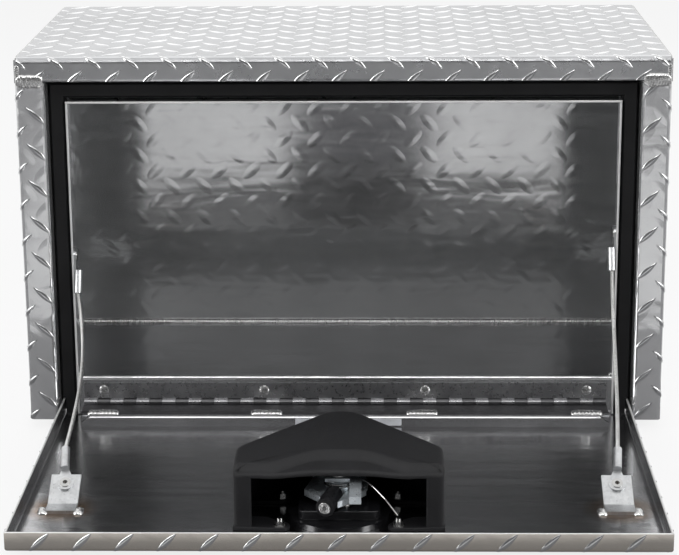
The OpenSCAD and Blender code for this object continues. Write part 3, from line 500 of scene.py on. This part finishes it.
def tread(name, face, body, phase_a, phase_b, angle=42.0, holes=(), mirror=False):
    """Raised lozenges over a face, cut off at its edges and left out over holes."""
    verts, faces = [], []
    for i in range(-SPARE_CELLS, int(face.wide / PITCH) + SPARE_CELLS + 1):
        for j in range(-SPARE_CELLS, int(face.high / PITCH) + SPARE_CELLS + 1):
            for half, sign in ((0.0, -1), (0.5, 1)):
                a = phase_a + (i + half) * PITCH
                b = phase_b + (j + half) * PITCH
                if not (-TREAD_REACH < a < face.wide + TREAD_REACH
                        and -TREAD_REACH < b < face.high + TREAD_REACH):
                    continue
                if any(h(a, b) for h in holes):
                    continue
                c, s = math.cos(math.radians(angle)), math.sin(math.radians(angle)) * sign
                if mirror:
                    s = -s
                base = len(verts)
                for row in SHAPE:
                    for x, y, h in row:
                        verts.append((a + x * c - y * s, b + x * s + y * c, h))
                faces += grid_faces(ALONG, ACROSS, base)
    mesh = bpy.data.meshes.new(name)
    mesh.from_pydata(verts, [], faces)
    bm = bmesh.new()
    bm.from_mesh(mesh)
    bmesh.ops.remove_doubles(bm, verts=bm.verts, dist=1e-7)
    for co, no in (((TREAD_MARGIN, 0, 0), (-1, 0, 0)), ((face.wide - TREAD_MARGIN, 0, 0), (1, 0, 0)),
                   ((0, TREAD_MARGIN, 0), (0, -1, 0)), ((0, face.high - TREAD_MARGIN, 0), (0, 1, 0))):
        geom = bm.verts[:] + bm.edges[:] + bm.faces[:]
        bmesh.ops.bisect_plane(bm, geom=geom, plane_co=co, plane_no=no, clear_outer=True)
    for v in bm.verts:
        v.co = face.at(*v.co)
    bm.to_mesh(mesh)
    bm.free()
    mesh.polygons.foreach_set("use_smooth", [True] * len(mesh.polygons))
    obj = bpy.data.objects.new(name, mesh)
    bpy.context.scene.collection.objects.link(obj)
    mesh.materials.append(mat_bump)
    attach(obj, body)


top_face = Bent(-WIDE + SHEET, (1, 0, 0), [(BACK, TOP), (FRONT, TOP), (FRONT, OPEN_Z + 0.0008)],
                {1: 0.0055}, 2 * (WIDE - SHEET), lambda y, z: (0, y, z))
top_face.flip = -1.0
corner_b = BACK - FRONT - 0.0024
tread("tread_top", top_face, "box", (0.013 + WIDE - SHEET) % PITCH, (corner_b + 0.003) % PITCH,
      mirror=True)

for side, label in ((1, "right"), (-1, "left")):
    shell = Bent(0.0, (0, 0, 1),
                 [(side * WIDE, BACK), (side * WIDE, FRONT), (side * (OPEN_X + 0.001), FRONT)],
                 {1: PAN_EDGE}, OPEN_Z - PAN_EDGE, lambda x, y: (x, y, 0))
    shell.flip = 1.0 if side > 0 else -1.0
    tread("tread_%s" % label, shell, "box", (0.1494 if side > 0 else 0.1603) % PITCH,
          (BACK - FRONT + 0.0165) % PITCH, 48.0)

tread("tread_back", Flat((WIDE - SHEET, BACK, 0), (-1, 0, 0), (0, 0, 1), 2 * (WIDE - SHEET),
                         TOP - SHEET), "box", 0.01, 0.004)

pan_face = Bent(door_lo.x + PAN_EDGE, (1, 0, 0),
                [(door_hi.y, door_lo.z), (door_lo.y, door_lo.z), (door_lo.y, door_hi.z)],
                {1: PAN_EDGE}, door_hi.x - door_lo.x - 2 * PAN_EDGE, lambda y, z: (0, y, z))
pan_face.flip = 1.0
bezel_lo, bezel_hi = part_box("latch_bezel")


def under_bezel(a, b):
    """Whether a place on the door's outside lies under the latch's bezel, with room for one lozenge."""
    x, y = a + door_lo.x + PAN_EDGE, door_hi.y - b
    return (bezel_lo.x - 0.009 < x < bezel_hi.x + 0.009
            and bezel_lo.y - 0.009 < y < bezel_hi.y + 0.026)


lip_b = door_hi.y - door_lo.y - 0.0015
tread("tread_door", pan_face, "door", (-0.0015 - 0.5 * PITCH - door_lo.x - PAN_EDGE) % PITCH,
      (lip_b + 0.008 - 0.5 * PITCH) % PITCH, 44.0, (under_bezel,))
for side, label in ((1, "right"), (-1, "left")):
    tread("tread_door_%s" % label,
          Flat((side * door_hi.x, door_lo.y + PAN_EDGE if side > 0 else door_hi.y, door_lo.z + PAN_EDGE),
               (0, side, 0), (0, 0, 1), door_hi.y - door_lo.y - PAN_EDGE,
               door_hi.z - door_lo.z - PAN_EDGE),
          "door", 0.012, 0.007)


# ---- Welds ----

def weld(name, places, body, replaces):
    """Beads of stacked ripples. A place is (points, across, out, half width, height, ripple)."""
    verts, faces = [], []
    rng = random.Random(name)
    for points, across, out, half, high, ripple in places:
        a, b = Vector(points[0]), Vector(points[1])
        across, out = Vector(across), Vector(out)
        length = (b - a).length
        along = (b - a) / length
        step = ripple / 5
        rows = max(8, int(length / step))
        cols = 11
        base = len(verts)
        drift = [rng.uniform(-1, 1) for _ in range(rows // 5 + 3)]
        for i in range(rows + 1):
            s = i * length / rows
            k = i / 5
            wobble = drift[int(k)] * (1 - k % 1) + drift[int(k) + 1] * (k % 1)
            end = min(1.0, s / (half * 0.9), (length - s) / (half * 0.9))
            end = math.sqrt(max(0.0, 1 - (1 - end) ** 2))
            for j in range(cols):
                u = -1 + 2 * j / (cols - 1)
                phase = (s + 0.55 * half * u * u) / ripple
                scallop = 1 - (phase % 1)
                tall = high * (0.72 + 0.28 * scallop) * (1 + 0.08 * wobble) * end
                wide = half * (0.93 + 0.07 * wobble) * (0.35 + 0.65 * end)
                rise = tall * math.sqrt(max(0.0, 1 - u * u)) ** 0.9
                verts.append(a + along * s + across * wide * u + out * (rise - 0.00005))
        faces += grid_faces(rows + 1, cols, base)
    add_mesh(name, verts, faces, body, mat_weld, True, replaces)


X, Y, Z = Vector((1, 0, 0)), Vector((0, 1, 0)), Vector((0, 0, 1))
frame_welds, edge_welds = [], []
for s in (1, -1):
    start, end = OPEN_X + 0.001, WIDE - 0.0008
    frame_welds.append((((s * start, FRONT, OPEN_Z + 0.0012), (s * end, FRONT, OPEN_Z + 0.0012)),
                        Z, -Y, 0.0068, 0.0024, 0.0027))
    frame_welds.append((((s * (WIDE - 0.0026), FRONT, OPEN_Z + 0.003),
                         (s * (WIDE - 0.0026), FRONT, TOP - 0.007)), X, -Y, 0.0022, 0.00095, 0.0021))
    edge_welds.append((((s * (WIDE - SHEET * 0.6), FRONT + 0.006, TOP - SHEET * 0.6),
                        (s * (WIDE - SHEET * 0.6), BACK - 0.0005, TOP - SHEET * 0.6)),
                       Vector((s * DIAGONAL, 0, -DIAGONAL)), Vector((s * DIAGONAL, 0, DIAGONAL)),
                       0.0014, 0.0010, 0.0024))
weld("frame_weld_beads", frame_welds, "box", ["frame_corner_welds"])
weld("edge_weld_beads", edge_welds, "box", ["top_edge_welds"])

seam_lo, seam_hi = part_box("floor_seam_weld")
seam_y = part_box("floor_panel")[0].y
sill_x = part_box("sill_panel")[1].x
weld("seam_weld_beads", [(((seam_lo.x, seam_hi.y - 0.0022, seam_lo.z + 0.0022),
                           (seam_hi.x, seam_hi.y - 0.0022, seam_lo.z + 0.0022)),
                          Vector((0, DIAGONAL, DIAGONAL)), Vector((0, -DIAGONAL, DIAGONAL)),
                          0.003, 0.0016, 0.0026),
                         (((-sill_x, seam_y, seam_lo.z + 0.0002), (sill_x, seam_y, seam_lo.z + 0.0002)),
                          Vector((0, 1, 0)), Vector((0, 0, 1)), 0.003, 0.0011, 0.0026)],
     "box", ["floor_seam_weld"])

sill_lo, sill_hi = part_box("sill_end_welds")
weld("sill_weld_beads",
     [(((s * (sill_hi.x - 0.001), sill_lo.y, sill_lo.z + 0.0006),
        (s * (sill_hi.x - 0.001), sill_hi.y, sill_lo.z + 0.0006)),
       Vector((s * DIAGONAL, 0, DIAGONAL)), Vector((-s * DIAGONAL, 0, DIAGONAL)), 0.0026, 0.0022, 0.0016)
      for s in (1, -1)], "box", ["sill_end_welds"])

corner_lo, corner_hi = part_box("door_corner_welds")
weld("door_corner_beads",
     [(((s * (corner_hi.x - 0.0013), corner_lo.y + 0.0013, corner_lo.z),
        (s * (corner_hi.x - 0.0013), corner_lo.y + 0.0013, corner_hi.z)),
       Vector((s * DIAGONAL, DIAGONAL, 0)), Vector((-s * DIAGONAL, DIAGONAL, 0)), 0.0024, 0.0018, 0.0018)
      for s in (1, -1)], "door", ["door_corner_welds"])

stitch_lo, stitch_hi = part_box("hinge_stitch_welds")
half_span = stitch_hi.x - 0.0165 + 0.001
stitches = []
for s in (1, -1):
    for x in (half_span * 0.3215, half_span):
        at = (s * x - 0.0155, s * x + 0.0155)
        stitches.append((((at[0], stitch_hi.y - 0.0006, stitch_lo.z + 0.0003),
                          (at[1], stitch_hi.y - 0.0006, stitch_lo.z + 0.0003)),
                         Vector((0, 0.94, 0.34)), Vector((0, -0.34, 0.94)), 0.0046, 0.0030, 0.0036))
weld("stitch_weld_beads", stitches, "door", ["hinge_stitch_welds"])

strap_lo, strap_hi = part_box("right_cable_bracket")
bw_lo, bw_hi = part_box("bracket_welds")
strap_beads = []
for s in (1, -1):
    for edge, way in ((strap_lo.x, -1), (strap_hi.x, 1)):
        x = s * edge
        w = way * s
        strap_beads.append((((x + w * 0.0022, bw_lo.y - 0.0006, bw_lo.z + 0.0003),
                             (x + w * 0.0030, bw_hi.y - 0.001, bw_lo.z + 0.0003)),
                            Vector((1, 0, 0)), Z, 0.0048, 0.0030, 0.0030))
weld("bracket_weld_beads", strap_beads, "door", ["bracket_welds"])


# ---- Wire ropes ----

def bezier(a, b, c, d, t):
    return a * (1 - t) ** 3 + b * 3 * t * (1 - t) ** 2 + c * 3 * t * t * (1 - t) + d * t ** 3


def tube(path, radius, sides, verts, faces):
    """A round tube along a path, closed at both ends."""
    base = len(verts)
    up = Vector((0, 0, 1))
    for i, p in enumerate(path):
        d = (path[min(i + 1, len(path) - 1)] - path[max(i - 1, 0)]).normalized()
        u = d.cross(up).normalized()
        v = d.cross(u).normalized()
        for k in range(sides):
            a = 2 * math.pi * k / sides
            verts.append(p + (u * math.cos(a) + v * math.sin(a)) * radius)
    faces += grid_faces(len(path), sides, base, True)
    faces.append(tuple(base + k for k in range(sides)))
    faces.append(tuple(base + (len(path) - 1) * sides + k for k in range(sides)))


WIRES = 6
WIRE_RADIUS = 0.00066
CORE_RADIUS = 0.00085
WIRE_RING = 0.00122
LAY = 0.0135
BEND_STEPS = 260


def rope(name, node, mirror, low, a, b, c, d, high):
    """Six wires laid round a core, from the sleeve on the door to the sleeve on the box."""
    flip = Vector((-1 if mirror else 1, 1, 1))
    low, a, b, c, d, high = [Vector(p) * flip for p in (low, a, b, c, d, high)]
    line = [low + (a - low) * (i / 4) for i in range(4)]
    line += [bezier(a, b, c, d, i / BEND_STEPS) for i in range(BEND_STEPS + 1)]
    line += [d + (high - d) * (i / 4) for i in range(1, 5)]
    verts, faces = [], []
    strands = [[] for _ in range(WIRES)]
    walked = 0.0
    u = None
    for i, p in enumerate(line):
        t = (line[min(i + 1, len(line) - 1)] - line[max(i - 1, 0)]).normalized()
        if i:
            walked += (p - line[i - 1]).length
        u = (u - t * u.dot(t)).normalized() if u else t.cross(X).normalized()
        v = t.cross(u)
        for k in range(WIRES):
            turn = 2 * math.pi * (k / WIRES + walked / LAY)
            strands[k].append(p + (u * math.cos(turn) + v * math.sin(turn)) * WIRE_RING)
    tube(line, CORE_RADIUS, 8, verts, faces)
    for strand in strands:
        tube(strand, WIRE_RADIUS, 6, verts, faces)
    obj = add_mesh(name, verts, faces, None, mat_rope, True, [node], False)
    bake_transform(obj)


DOOR_END = ((0.24383, -0.32066, 0.03302), (0.24416, -0.31741, 0.03497))
rope("right_rope", "right_cable", False, *DOOR_END, (0.24954, -0.26473, 0.06662),
     (0.2551, -0.16982, 0.09118), (0.2551, -0.14374, 0.1471), (0.2551, -0.14214, 0.15054))
rope("left_rope", "left_cable", True, *DOOR_END, (0.23754, -0.26473, 0.06662),
     (0.2431, -0.16982, 0.06918), (0.2551, -0.14374, 0.1251), (0.2551, -0.14214, 0.12854))


# ---- Hood ----

FRONT_POINTS = 90
HOOD_DEEP = 0.14
BACK_RADIUS = 0.026
HOOD_TOP = hood_hi.z
HOOD_BASE = hood_lo.z


def ease(t):
    t = min(1.0, max(0.0, t))
    return t * t * (3 - 2 * t)


def hood_outline():
    """Plan of the hood, anticlockwise from the left end of its front, the front's points first."""
    hw = hood_hi.x - 0.0005
    front = hood_hi.y - HOOD_DEEP + 0.0002
    apex = hood_hi.y - 0.0003
    r = BACK_RADIUS
    centre = Vector((0, apex - r))
    corner = Vector((hw - 0.009, front + 0.061))
    reach = centre - corner
    lean = math.atan2(reach.y, reach.x) - math.asin(r / reach.length)
    tangent = centre + Vector((math.sin(lean), -math.cos(lean))) * -r
    if tangent.x < 0:
        tangent = centre + Vector((math.sin(lean), -math.cos(lean))) * r
    right = [Vector((hw, front)), Vector((hw, front + 0.050)), corner, tangent]
    pts = []

    def add(a, b, n):
        for i in range(n):
            p = a + (b - a) * (i / n)
            if not pts or (p - pts[-1]).length > 1e-5:
                pts.append(p)

    add(Vector((-hw, front)), right[0], FRONT_POINTS)
    for p in pts:
        p.y += 0.008 * ease((0.060 - abs(p.x)) / 0.045)
    add(right[0], right[1], 26)
    add(right[1], right[2], 8)
    add(right[2], right[3], 40)
    start = math.atan2(tangent.y - centre.y, tangent.x - centre.x)
    for i in range(1, 24):
        a = start + (math.pi - 2 * start) * i / 24
        pts.append(centre + Vector((math.cos(a), math.sin(a))) * r)
    left = [Vector((-p.x, p.y)) for p in right]
    add(left[3], left[2], 40)
    add(left[2], left[1], 8)
    add(left[1], left[0], 26)
    n = len(pts)
    for _ in range(7):
        pts = [(pts[i - 1] + pts[i] * 2 + pts[(i + 1) % n]) / 4 for i in range(n)]
    return pts, hw, front


RIDGE_DROP = 0.0064
RIDGE_WIDE = 0.0125
HOOD_WALL = 0.0028
ROOF_STEPS = 110


def hood_height(p, front):
    """Roof height over a point: a level roof, and before its arched ridge a step down to a porch."""
    ridge = 0.012 + 0.031 * ease((0.066 - abs(p.x)) / 0.052)
    roof = HOOD_TOP - 0.0004
    return roof - RIDGE_DROP * (1 - ease((p.y - front - ridge + RIDGE_WIDE) / RIDGE_WIDE))


def hood():
    """Open-fronted shell over the latch: an outer skin, an inner skin and the rims between them."""
    outline, hw, front = hood_outline()
    n = len(outline)
    centre = Vector((0, front + 0.062))
    mouth_x = hw - 0.0155
    verts, faces, rings, within = [], [], [], []

    def ring(points, heights, points_in, heights_in):
        rings.append(len(verts))
        for p, z in zip(points, heights):
            verts.append((p.x, p.y, z))
        for p, z in zip(points_in, heights_in):
            within.append((p.x, p.y, z))

    def inward(ds):
        out = []
        for i in range(n):
            t = (outline[(i + 1) % n] - outline[i - 1]).normalized()
            out.append(outline[i] + Vector((-t.y, t.x)) * ds[i])
        return out

    fillet = []
    for p in outline:
        side = ease((abs(p.x) - hw + 0.012) / 0.010)
        back = ease((p.y - front - 0.004) / 0.010)
        fillet.append(0.0030 + 0.0016 * max(side, back))
    edge_z = [hood_height(outline[i] + (centre - outline[i]).normalized() * fillet[i], front) - fillet[i]
              for i in range(n)]
    levels = [0.0, 0.02, 0.06, 0.15, 0.3, 0.5, 0.7, 0.86, 0.975, 1.0]
    for level in levels:
        flare = 0.0005 - 0.0012 * max(0.0, 1 - level * 14)
        heights = [HOOD_BASE + (z - HOOD_BASE) * level for z in edge_z]
        ring(inward([flare] * n), heights, inward([0.0005 + HOOD_WALL] * n), heights)
    for k in range(1, 6):
        a = math.pi / 2 * k / 5
        ring(inward([0.0005 + f * (1 - math.cos(a)) for f in fillet]),
             [z + f * math.sin(a) for z, f in zip(edge_z, fillet)],
             inward([0.0005 + f * (1 - math.cos(a)) + HOOD_WALL * math.cos(a) for f in fillet]),
             [z + (f - HOOD_WALL) * math.sin(a) for z, f in zip(edge_z, fillet)])
    last = inward([0.0005 + f for f in fillet])
    for k in range(1, ROOF_STEPS):
        pts = [centre + (p - centre) * (1 - k / ROOF_STEPS) for p in last]
        heights = [hood_height(p, front) for p in pts]
        ring(pts, heights, pts, [z - HOOD_WALL for z in heights])
    tip = len(verts)
    verts.append((centre.x, centre.y, hood_height(centre, front)))
    within.append((centre.x, centre.y, hood_height(centre, front) - HOOD_WALL))
    mouth = [i < FRONT_POINTS and max(abs(outline[i].x), abs(outline[(i + 1) % n].x)) < mouth_x
             for i in range(n)]
    for r in range(len(rings) - 1):
        for i in range(n):
            if mouth[i] and r < len(levels) - 2:
                continue
            j = (i + 1) % n
            faces.append((rings[r] + i, rings[r] + j, rings[r + 1] + j, rings[r + 1] + i))
    for i in range(n):
        faces.append((rings[-1] + i, rings[-1] + (i + 1) % n, tip))
    count = len(verts)
    used = {}
    for face in faces:
        for a, b in zip(face, face[1:] + face[:1]):
            used[(a, b)] = used.get((a, b), 0) + 1
    rims = [(a, b) for a, b in used if (b, a) not in used]
    inner = [tuple(count + k for k in reversed(face)) for face in faces]
    edges = [(b, a, count + a, count + b) for a, b in rims]
    add_mesh("hood_shell", verts + within, faces + inner + edges, "door", mat_hood, True,
             ["latch_hood"])
    return hw, front


hood_hw, hood_y = hood()


def plate(name, outline, low, high, body, material, round_=0.0006, replaces=()):
    """A flat plate with softened edges."""
    n = len(outline)
    verts = [(x, y, low) for x, y in outline] + [(x, y, high) for x, y in outline]
    faces = [tuple(range(n - 1, -1, -1)), tuple(range(n, 2 * n))]
    faces += [(i, (i + 1) % n, n + (i + 1) % n, n + i) for i in range(n)]
    obj = add_mesh(name, verts, faces, body, material, False, replaces)
    bevel = obj.modifiers.new("edge", "BEVEL")
    bevel.width = round_
    bevel.segments = 3
    bevel.limit_method = "ANGLE"
    bevel.angle_limit = math.radians(40)


stud_lo, stud_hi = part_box("latch_studs")
stud_x = stud_hi.x - 0.0025
stud_front, stud_back = stud_lo.y + 0.0025, stud_hi.y - 0.0025
for s, label in ((1, "right"), (-1, "left")):
    lobe = [(stud_x + 0.0085 * math.cos(a), stud_front + 0.0085 * math.sin(a))
            for a in [math.radians(d) for d in range(100, 271, 15)]]
    lobe = [(x, max(y, hood_y - 0.0028)) for x, y in lobe]
    front_ear = lobe + [(hood_hw + 0.0003, hood_y - 0.0003), (hood_hw + 0.0003, hood_y + 0.006),
                        (hood_hw - 0.003, hood_y + 0.024), (stud_x + 0.012, hood_y + 0.022)]
    plate("hood_foot_%s" % label, [(s * x, y) for x, y in front_ear][::s], HOOD_BASE, HOOD_BASE + 0.0032,
          "door", mat_hood, 0.0009)
    rear = [(stud_x + 0.008 * math.cos(a), stud_back + 0.008 * math.sin(a))
            for a in [math.radians(d) for d in range(90, 271, 15)]]
    rear += [(hood_hw - 0.0035, stud_back - 0.008), (hood_hw - 0.0095, stud_back + 0.008)]
    plate("hood_ear_%s" % label, [(s * x, y) for x, y in rear][::s], HOOD_BASE, HOOD_BASE + 0.003,
          "door", mat_hood, 0.0006)


# ---- Cut edges of the door, latch housing and screw head ----

half_t = SHEET / 2


def rounded_strip(verts, faces, a, b, across, out, high):
    """A strip as wide as a sheet's edge, with a half-round section that bulges along out."""
    base = len(verts)
    for p in (a, b):
        for k in range(7):
            turn = math.pi * k / 6
            verts.append(p + across * (half_t * math.cos(turn)) + out * (high * math.sin(turn)))
    faces += grid_faces(2, 7, base)


edge_verts, edge_faces = [], []
front_line = door_lo.y + half_t
side_line = door_hi.x - half_t
rounded_strip(edge_verts, edge_faces, Vector((-door_hi.x + 0.0004, front_line, door_hi.z)),
              Vector((door_hi.x - 0.0004, front_line, door_hi.z)), -Y, Z, 0.0004)
for s in (1, -1):
    rounded_strip(edge_verts, edge_faces, Vector((s * side_line, door_lo.y + SHEET, door_hi.z)),
                  Vector((s * side_line, door_hi.y - 0.0004, door_hi.z)), X * s, Z, 0.0004)
add_mesh("door_cut_edges", edge_verts, edge_faces, "door", mat_edge)


lip_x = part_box("sill_panel")[1].x + half_t
lip_low, lip_line = top_lo.z, top_lo.z + half_t
lip_front = min(v.co.y for v in nodes["top_panel"].data.vertices if v.co.z < lip_low + 0.0005)

lip_verts, lip_faces = [], []
rounded_strip(lip_verts, lip_faces, Vector((-lip_x - half_t, lip_front, lip_line)),
              Vector((lip_x + half_t, lip_front, lip_line)), Z, -Y, 0.0005)
for s in (1, -1):
    rounded_strip(lip_verts, lip_faces, Vector((s * lip_x, lip_front, 0.0005)),
                  Vector((s * lip_x, lip_front, lip_low)), X, -Y, 0.0005)
add_mesh("lip_cut_edges", lip_verts, lip_faces, "box", mat_edge)


def round_rectangle(lo, hi, r, steps=6):
    points = []
    for cx, cy, start in ((hi.x - r, hi.y - r, 0), (lo.x + r, hi.y - r, 90),
                          (lo.x + r, lo.y + r, 180), (hi.x - r, lo.y + r, 270)):
        for k in range(steps + 1):
            a = math.radians(start + 90 * k / steps)
            points.append((cx + r * math.cos(a), cy + r * math.sin(a)))
    return points


housing_lo, housing_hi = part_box("latch_housing")
plate("housing_block", round_rectangle(housing_lo, housing_hi, 0.007), housing_lo.z, housing_hi.z,
      "door", mat_gloss, 0.0009, ["latch_housing"])


def screw_head():
    """Domed head with a groove and a hexagon socket, on the end of the black sleeve."""
    points = [v.co for v in nodes["pawl_screw"].data.vertices]
    aim = Vector((-7.2, -24.6, -1.8)).normalized()
    far = max(p.dot(aim) for p in points)
    rim = [p for p in points if p.dot(aim) > far - 0.00002]
    centre = sum(rim, Vector()) / len(rim)
    u = aim.cross(Z).normalized()
    v = aim.cross(u)
    profile = [(0.0052, -0.0012), (0.0052, -0.0002), (0.0047, 0.0002), (0.0036, 0.0003), (0.0033, -0.0001),
               (0.0030, 0.0003), (0.0022, 0.0004), (0.0019, -0.0008)]
    sides = 48
    verts, faces = [], []
    for r, h in profile:
        for k in range(sides):
            a = 2 * math.pi * k / sides
            flat = r
            if r < 0.002:
                flat = r * math.cos(math.pi / 6) / math.cos((a % (math.pi / 3)) - math.pi / 6)
            verts.append(centre + (u * math.cos(a) + v * math.sin(a)) * flat + aim * h)
    faces += grid_faces(len(profile), sides, 0, True)
    faces.append(tuple((len(profile) - 1) * sides + k for k in range(sides)))
    add_mesh("sleeve_screw_head", verts, faces, "latch_rotor", mat_fastener)


screw_head()


# ---- Sticker ----

STICKER_X = (-0.047, 0.055)


def sticker():
    """Blank label on the hinge rail, one neutral colour."""
    lo = Vector((STICKER_X[0], rail_lo.z + 0.0012))
    hi = Vector((STICKER_X[1], rail_hi.z - 0.0022))
    corners = round_rectangle(lo, hi, 0.0012, 4)
    count = len(corners)
    verts = [(x, rail_lo.y - 0.00012, z) for x, z in corners]
    verts += [(x, rail_lo.y + 0.00002, z) for x, z in corners]
    faces = [tuple(range(count)), tuple(range(2 * count - 1, count - 1, -1))]
    faces += [(i, (i + 1) % count, count + (i + 1) % count, count + i) for i in range(count)]
    add_mesh("blank_sticker", verts, faces, "door", mat_sticker, False)


sticker()


# ---- Floor, light and camera ----

FLOOR_WHITE = 0.84


def show_white(tree, own, share):
    """Rays that see the background get white over a share of a surface's own shading."""
    path = tree.nodes.new("ShaderNodeLightPath")
    seen = tree.nodes.new("ShaderNodeMath")
    seen.operation = "MAXIMUM"
    tree.links.new(path.outputs["Is Camera Ray"], seen.inputs[0])
    tree.links.new(path.outputs["Is Glossy Ray"], seen.inputs[1])
    also = tree.nodes.new("ShaderNodeMath")
    also.operation = "MAXIMUM"
    tree.links.new(seen.outputs[0], also.inputs[0])
    tree.links.new(path.outputs["Is Transmission Ray"], also.inputs[1])
    part = tree.nodes.new("ShaderNodeMath")
    part.operation = "MULTIPLY"
    tree.links.new(also.outputs[0], part.inputs[0])
    part.inputs[1].default_value = share
    white = tree.nodes.new("ShaderNodeEmission")
    white.inputs["Color"].default_value = (1, 1, 1, 1)
    white.inputs["Strength"].default_value = 1.0
    mix = tree.nodes.new("ShaderNodeMixShader")
    tree.links.new(part.outputs[0], mix.inputs["Fac"])
    tree.links.new(own.outputs[0], mix.inputs[1])
    tree.links.new(white.outputs[0], mix.inputs[2])
    return mix.outputs[0]


def card(name, corners, tone):
    """A flat sheet of the studio."""
    mat = bpy.data.materials.new(name)
    mat.use_nodes = True
    paper = mat.node_tree.nodes["Principled BSDF"]
    paper.inputs["Base Color"].default_value = (*tone, 1)
    paper.inputs["Roughness"].default_value = 0.9
    paper.inputs["Specular IOR Level"].default_value = 0.1
    mesh = bpy.data.meshes.new(name)
    mesh.from_pydata(corners, [], [(0, 1, 2, 3)])
    obj = bpy.data.objects.new(name, mesh)
    bpy.context.scene.collection.objects.link(obj)
    mesh.materials.append(mat)
    return obj, mat, paper


def under_object(points, gap):
    """Corners of a level card a little under the object's lowest point."""
    return [(x, y, low - gap) for x, y in points]


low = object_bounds()[0].z
floor_obj, floor_mat, paper = card(
    "studio_floor", under_object(((-7, -7), (7, -7), (7, 7), (-7, 7)), 0.0005), (0.84, 0.84, 0.84))
floor_tree = floor_mat.node_tree
floor_tree.links.new(show_white(floor_tree, paper, FLOOR_WHITE),
                     floor_tree.nodes["Material Output"].inputs["Surface"])

# Four cards that only reflections see: they give the plate's mirror faces their dark and light bands.
grey_flag = card("grey_flag", under_object(((-1.7, -2.6), (1.7, -2.6), (1.7, -0.1), (-1.7, -0.1)), 0.0003),
                 (0.25, 0.25, 0.255))[0]
middle_card = card("middle_card",
                   under_object(((-0.5, -1.7), (0.5, -1.7), (0.42, -0.5), (-0.42, -0.5)), 0.0002),
                   (0.72, 0.72, 0.72))[0]
dark_flag = card("dark_flag",
                 under_object(((-0.12, -1.4), (0.13, -1.4), (0.1, -0.6), (-0.1, -0.6)), 0.0001),
                 (0.07, 0.07, 0.075))[0]
front_flag = card("front_flag", [(-4, -3.2, 0), (4, -3.2, 0), (4, -3.2, 3.5), (-4, -3.2, 3.5)],
                  (0.2, 0.2, 0.2))[0]
for flag in (grey_flag, middle_card, dark_flag, front_flag):
    flag.visible_camera = False
    flag.visible_diffuse = False
    flag.visible_shadow = False

world = bpy.data.worlds.new("studio")
bpy.context.scene.world = world
world.use_nodes = True
tree = world.node_tree
soft = tree.nodes["Background"]
coord = tree.nodes.new("ShaderNodeTexCoord")
split = tree.nodes.new("ShaderNodeSeparateXYZ")
tree.links.new(coord.outputs["Generated"], split.inputs[0])
shift = tree.nodes.new("ShaderNodeMapRange")
shift.inputs["From Min"].default_value = -1.0
tree.links.new(split.outputs["Y"], shift.inputs["Value"])
ramp = tree.nodes.new("ShaderNodeValToRGB")
tree.links.new(shift.outputs["Result"], ramp.inputs["Fac"])
ramp.color_ramp.elements[0].position = 0.2
ramp.color_ramp.elements[0].color = (0.3, 0.3, 0.31, 1)
ramp.color_ramp.elements[1].position = 0.75
ramp.color_ramp.elements[1].color = (0.85, 0.85, 0.86, 1)
tree.links.new(ramp.outputs["Color"], soft.inputs["Color"])
soft.inputs["Strength"].default_value = 0.75
tree.links.new(show_white(tree, soft, 1.0), tree.nodes["World Output"].inputs["Surface"])


def lamp(name, place, target, size, power):
    """A rectangular soft lamp aimed at a point."""
    data = bpy.data.lights.new(name, "AREA")
    data.shape = "RECTANGLE"
    data.size, data.size_y = size
    data.energy = power
    obj = bpy.data.objects.new(name, data)
    bpy.context.scene.collection.objects.link(obj)
    obj.location = place
    obj.rotation_euler = (Vector(target) - Vector(place)).to_track_quat("-Z", "Y").to_euler()


lamp("top_softbox", (0, 1.3, 1.7), (0, 0, 0.2), (2.6, 1.4), 8)
lamp("left_softbox", (-2.0, -1.2, 1.2), (0, -0.2, 0.2), (0.7, 1.6), 20)
lamp("right_softbox", (2.0, -1.4, 1.2), (0, -0.2, 0.2), (0.7, 1.6), 21)
lamp("front_softbox", (0.0, -1.9, 2.0), (0, -0.2, 0.15), (1.6, 0.4), 12)

LENS = 106.541973
SHIFT = -0.0795287
CAMERA_X, CAMERA_OFF, CAMERA_HIGH = 0.0374, 1.8299, 0.6877

cam_data = bpy.data.cameras.new("camera")
cam = bpy.data.objects.new("camera", cam_data)
bpy.context.scene.collection.objects.link(cam)
bpy.context.scene.camera = cam
yaw, pitch, roll = math.radians(-1.281), math.radians(15.02), math.radians(0.405)
cy, sy = math.cos(yaw), math.sin(yaw)
cp, sp = math.cos(pitch), math.sin(pitch)
cr, sr = math.cos(roll), math.sin(roll)
m_yaw = Matrix(((cy, -sy, 0), (sy, cy, 0), (0, 0, 1)))
m_pitch = Matrix(((1, 0, 0), (0, cp, -sp), (0, sp, cp)))
m_roll = Matrix(((cr, 0, -sr), (0, 1, 0), (sr, 0, cr)))
to_view = m_roll @ m_pitch @ m_yaw
right, ahead, up = to_view[0], to_view[1], to_view[2]
cam.matrix_world = Matrix(((right[0], up[0], -ahead[0], CAMERA_X),
                           (right[1], up[1], -ahead[1], FRONT - CAMERA_OFF),
                           (right[2], up[2], -ahead[2], CAMERA_HIGH),
                           (0, 0, 0, 1)))
cam_data.sensor_width = 36.0
cam_data.lens = LENS
cam_data.shift_y = SHIFT
cam_data.clip_start, cam_data.clip_end = 0.05, 60.0

bpy.context.scene.view_settings.view_transform = "Standard"
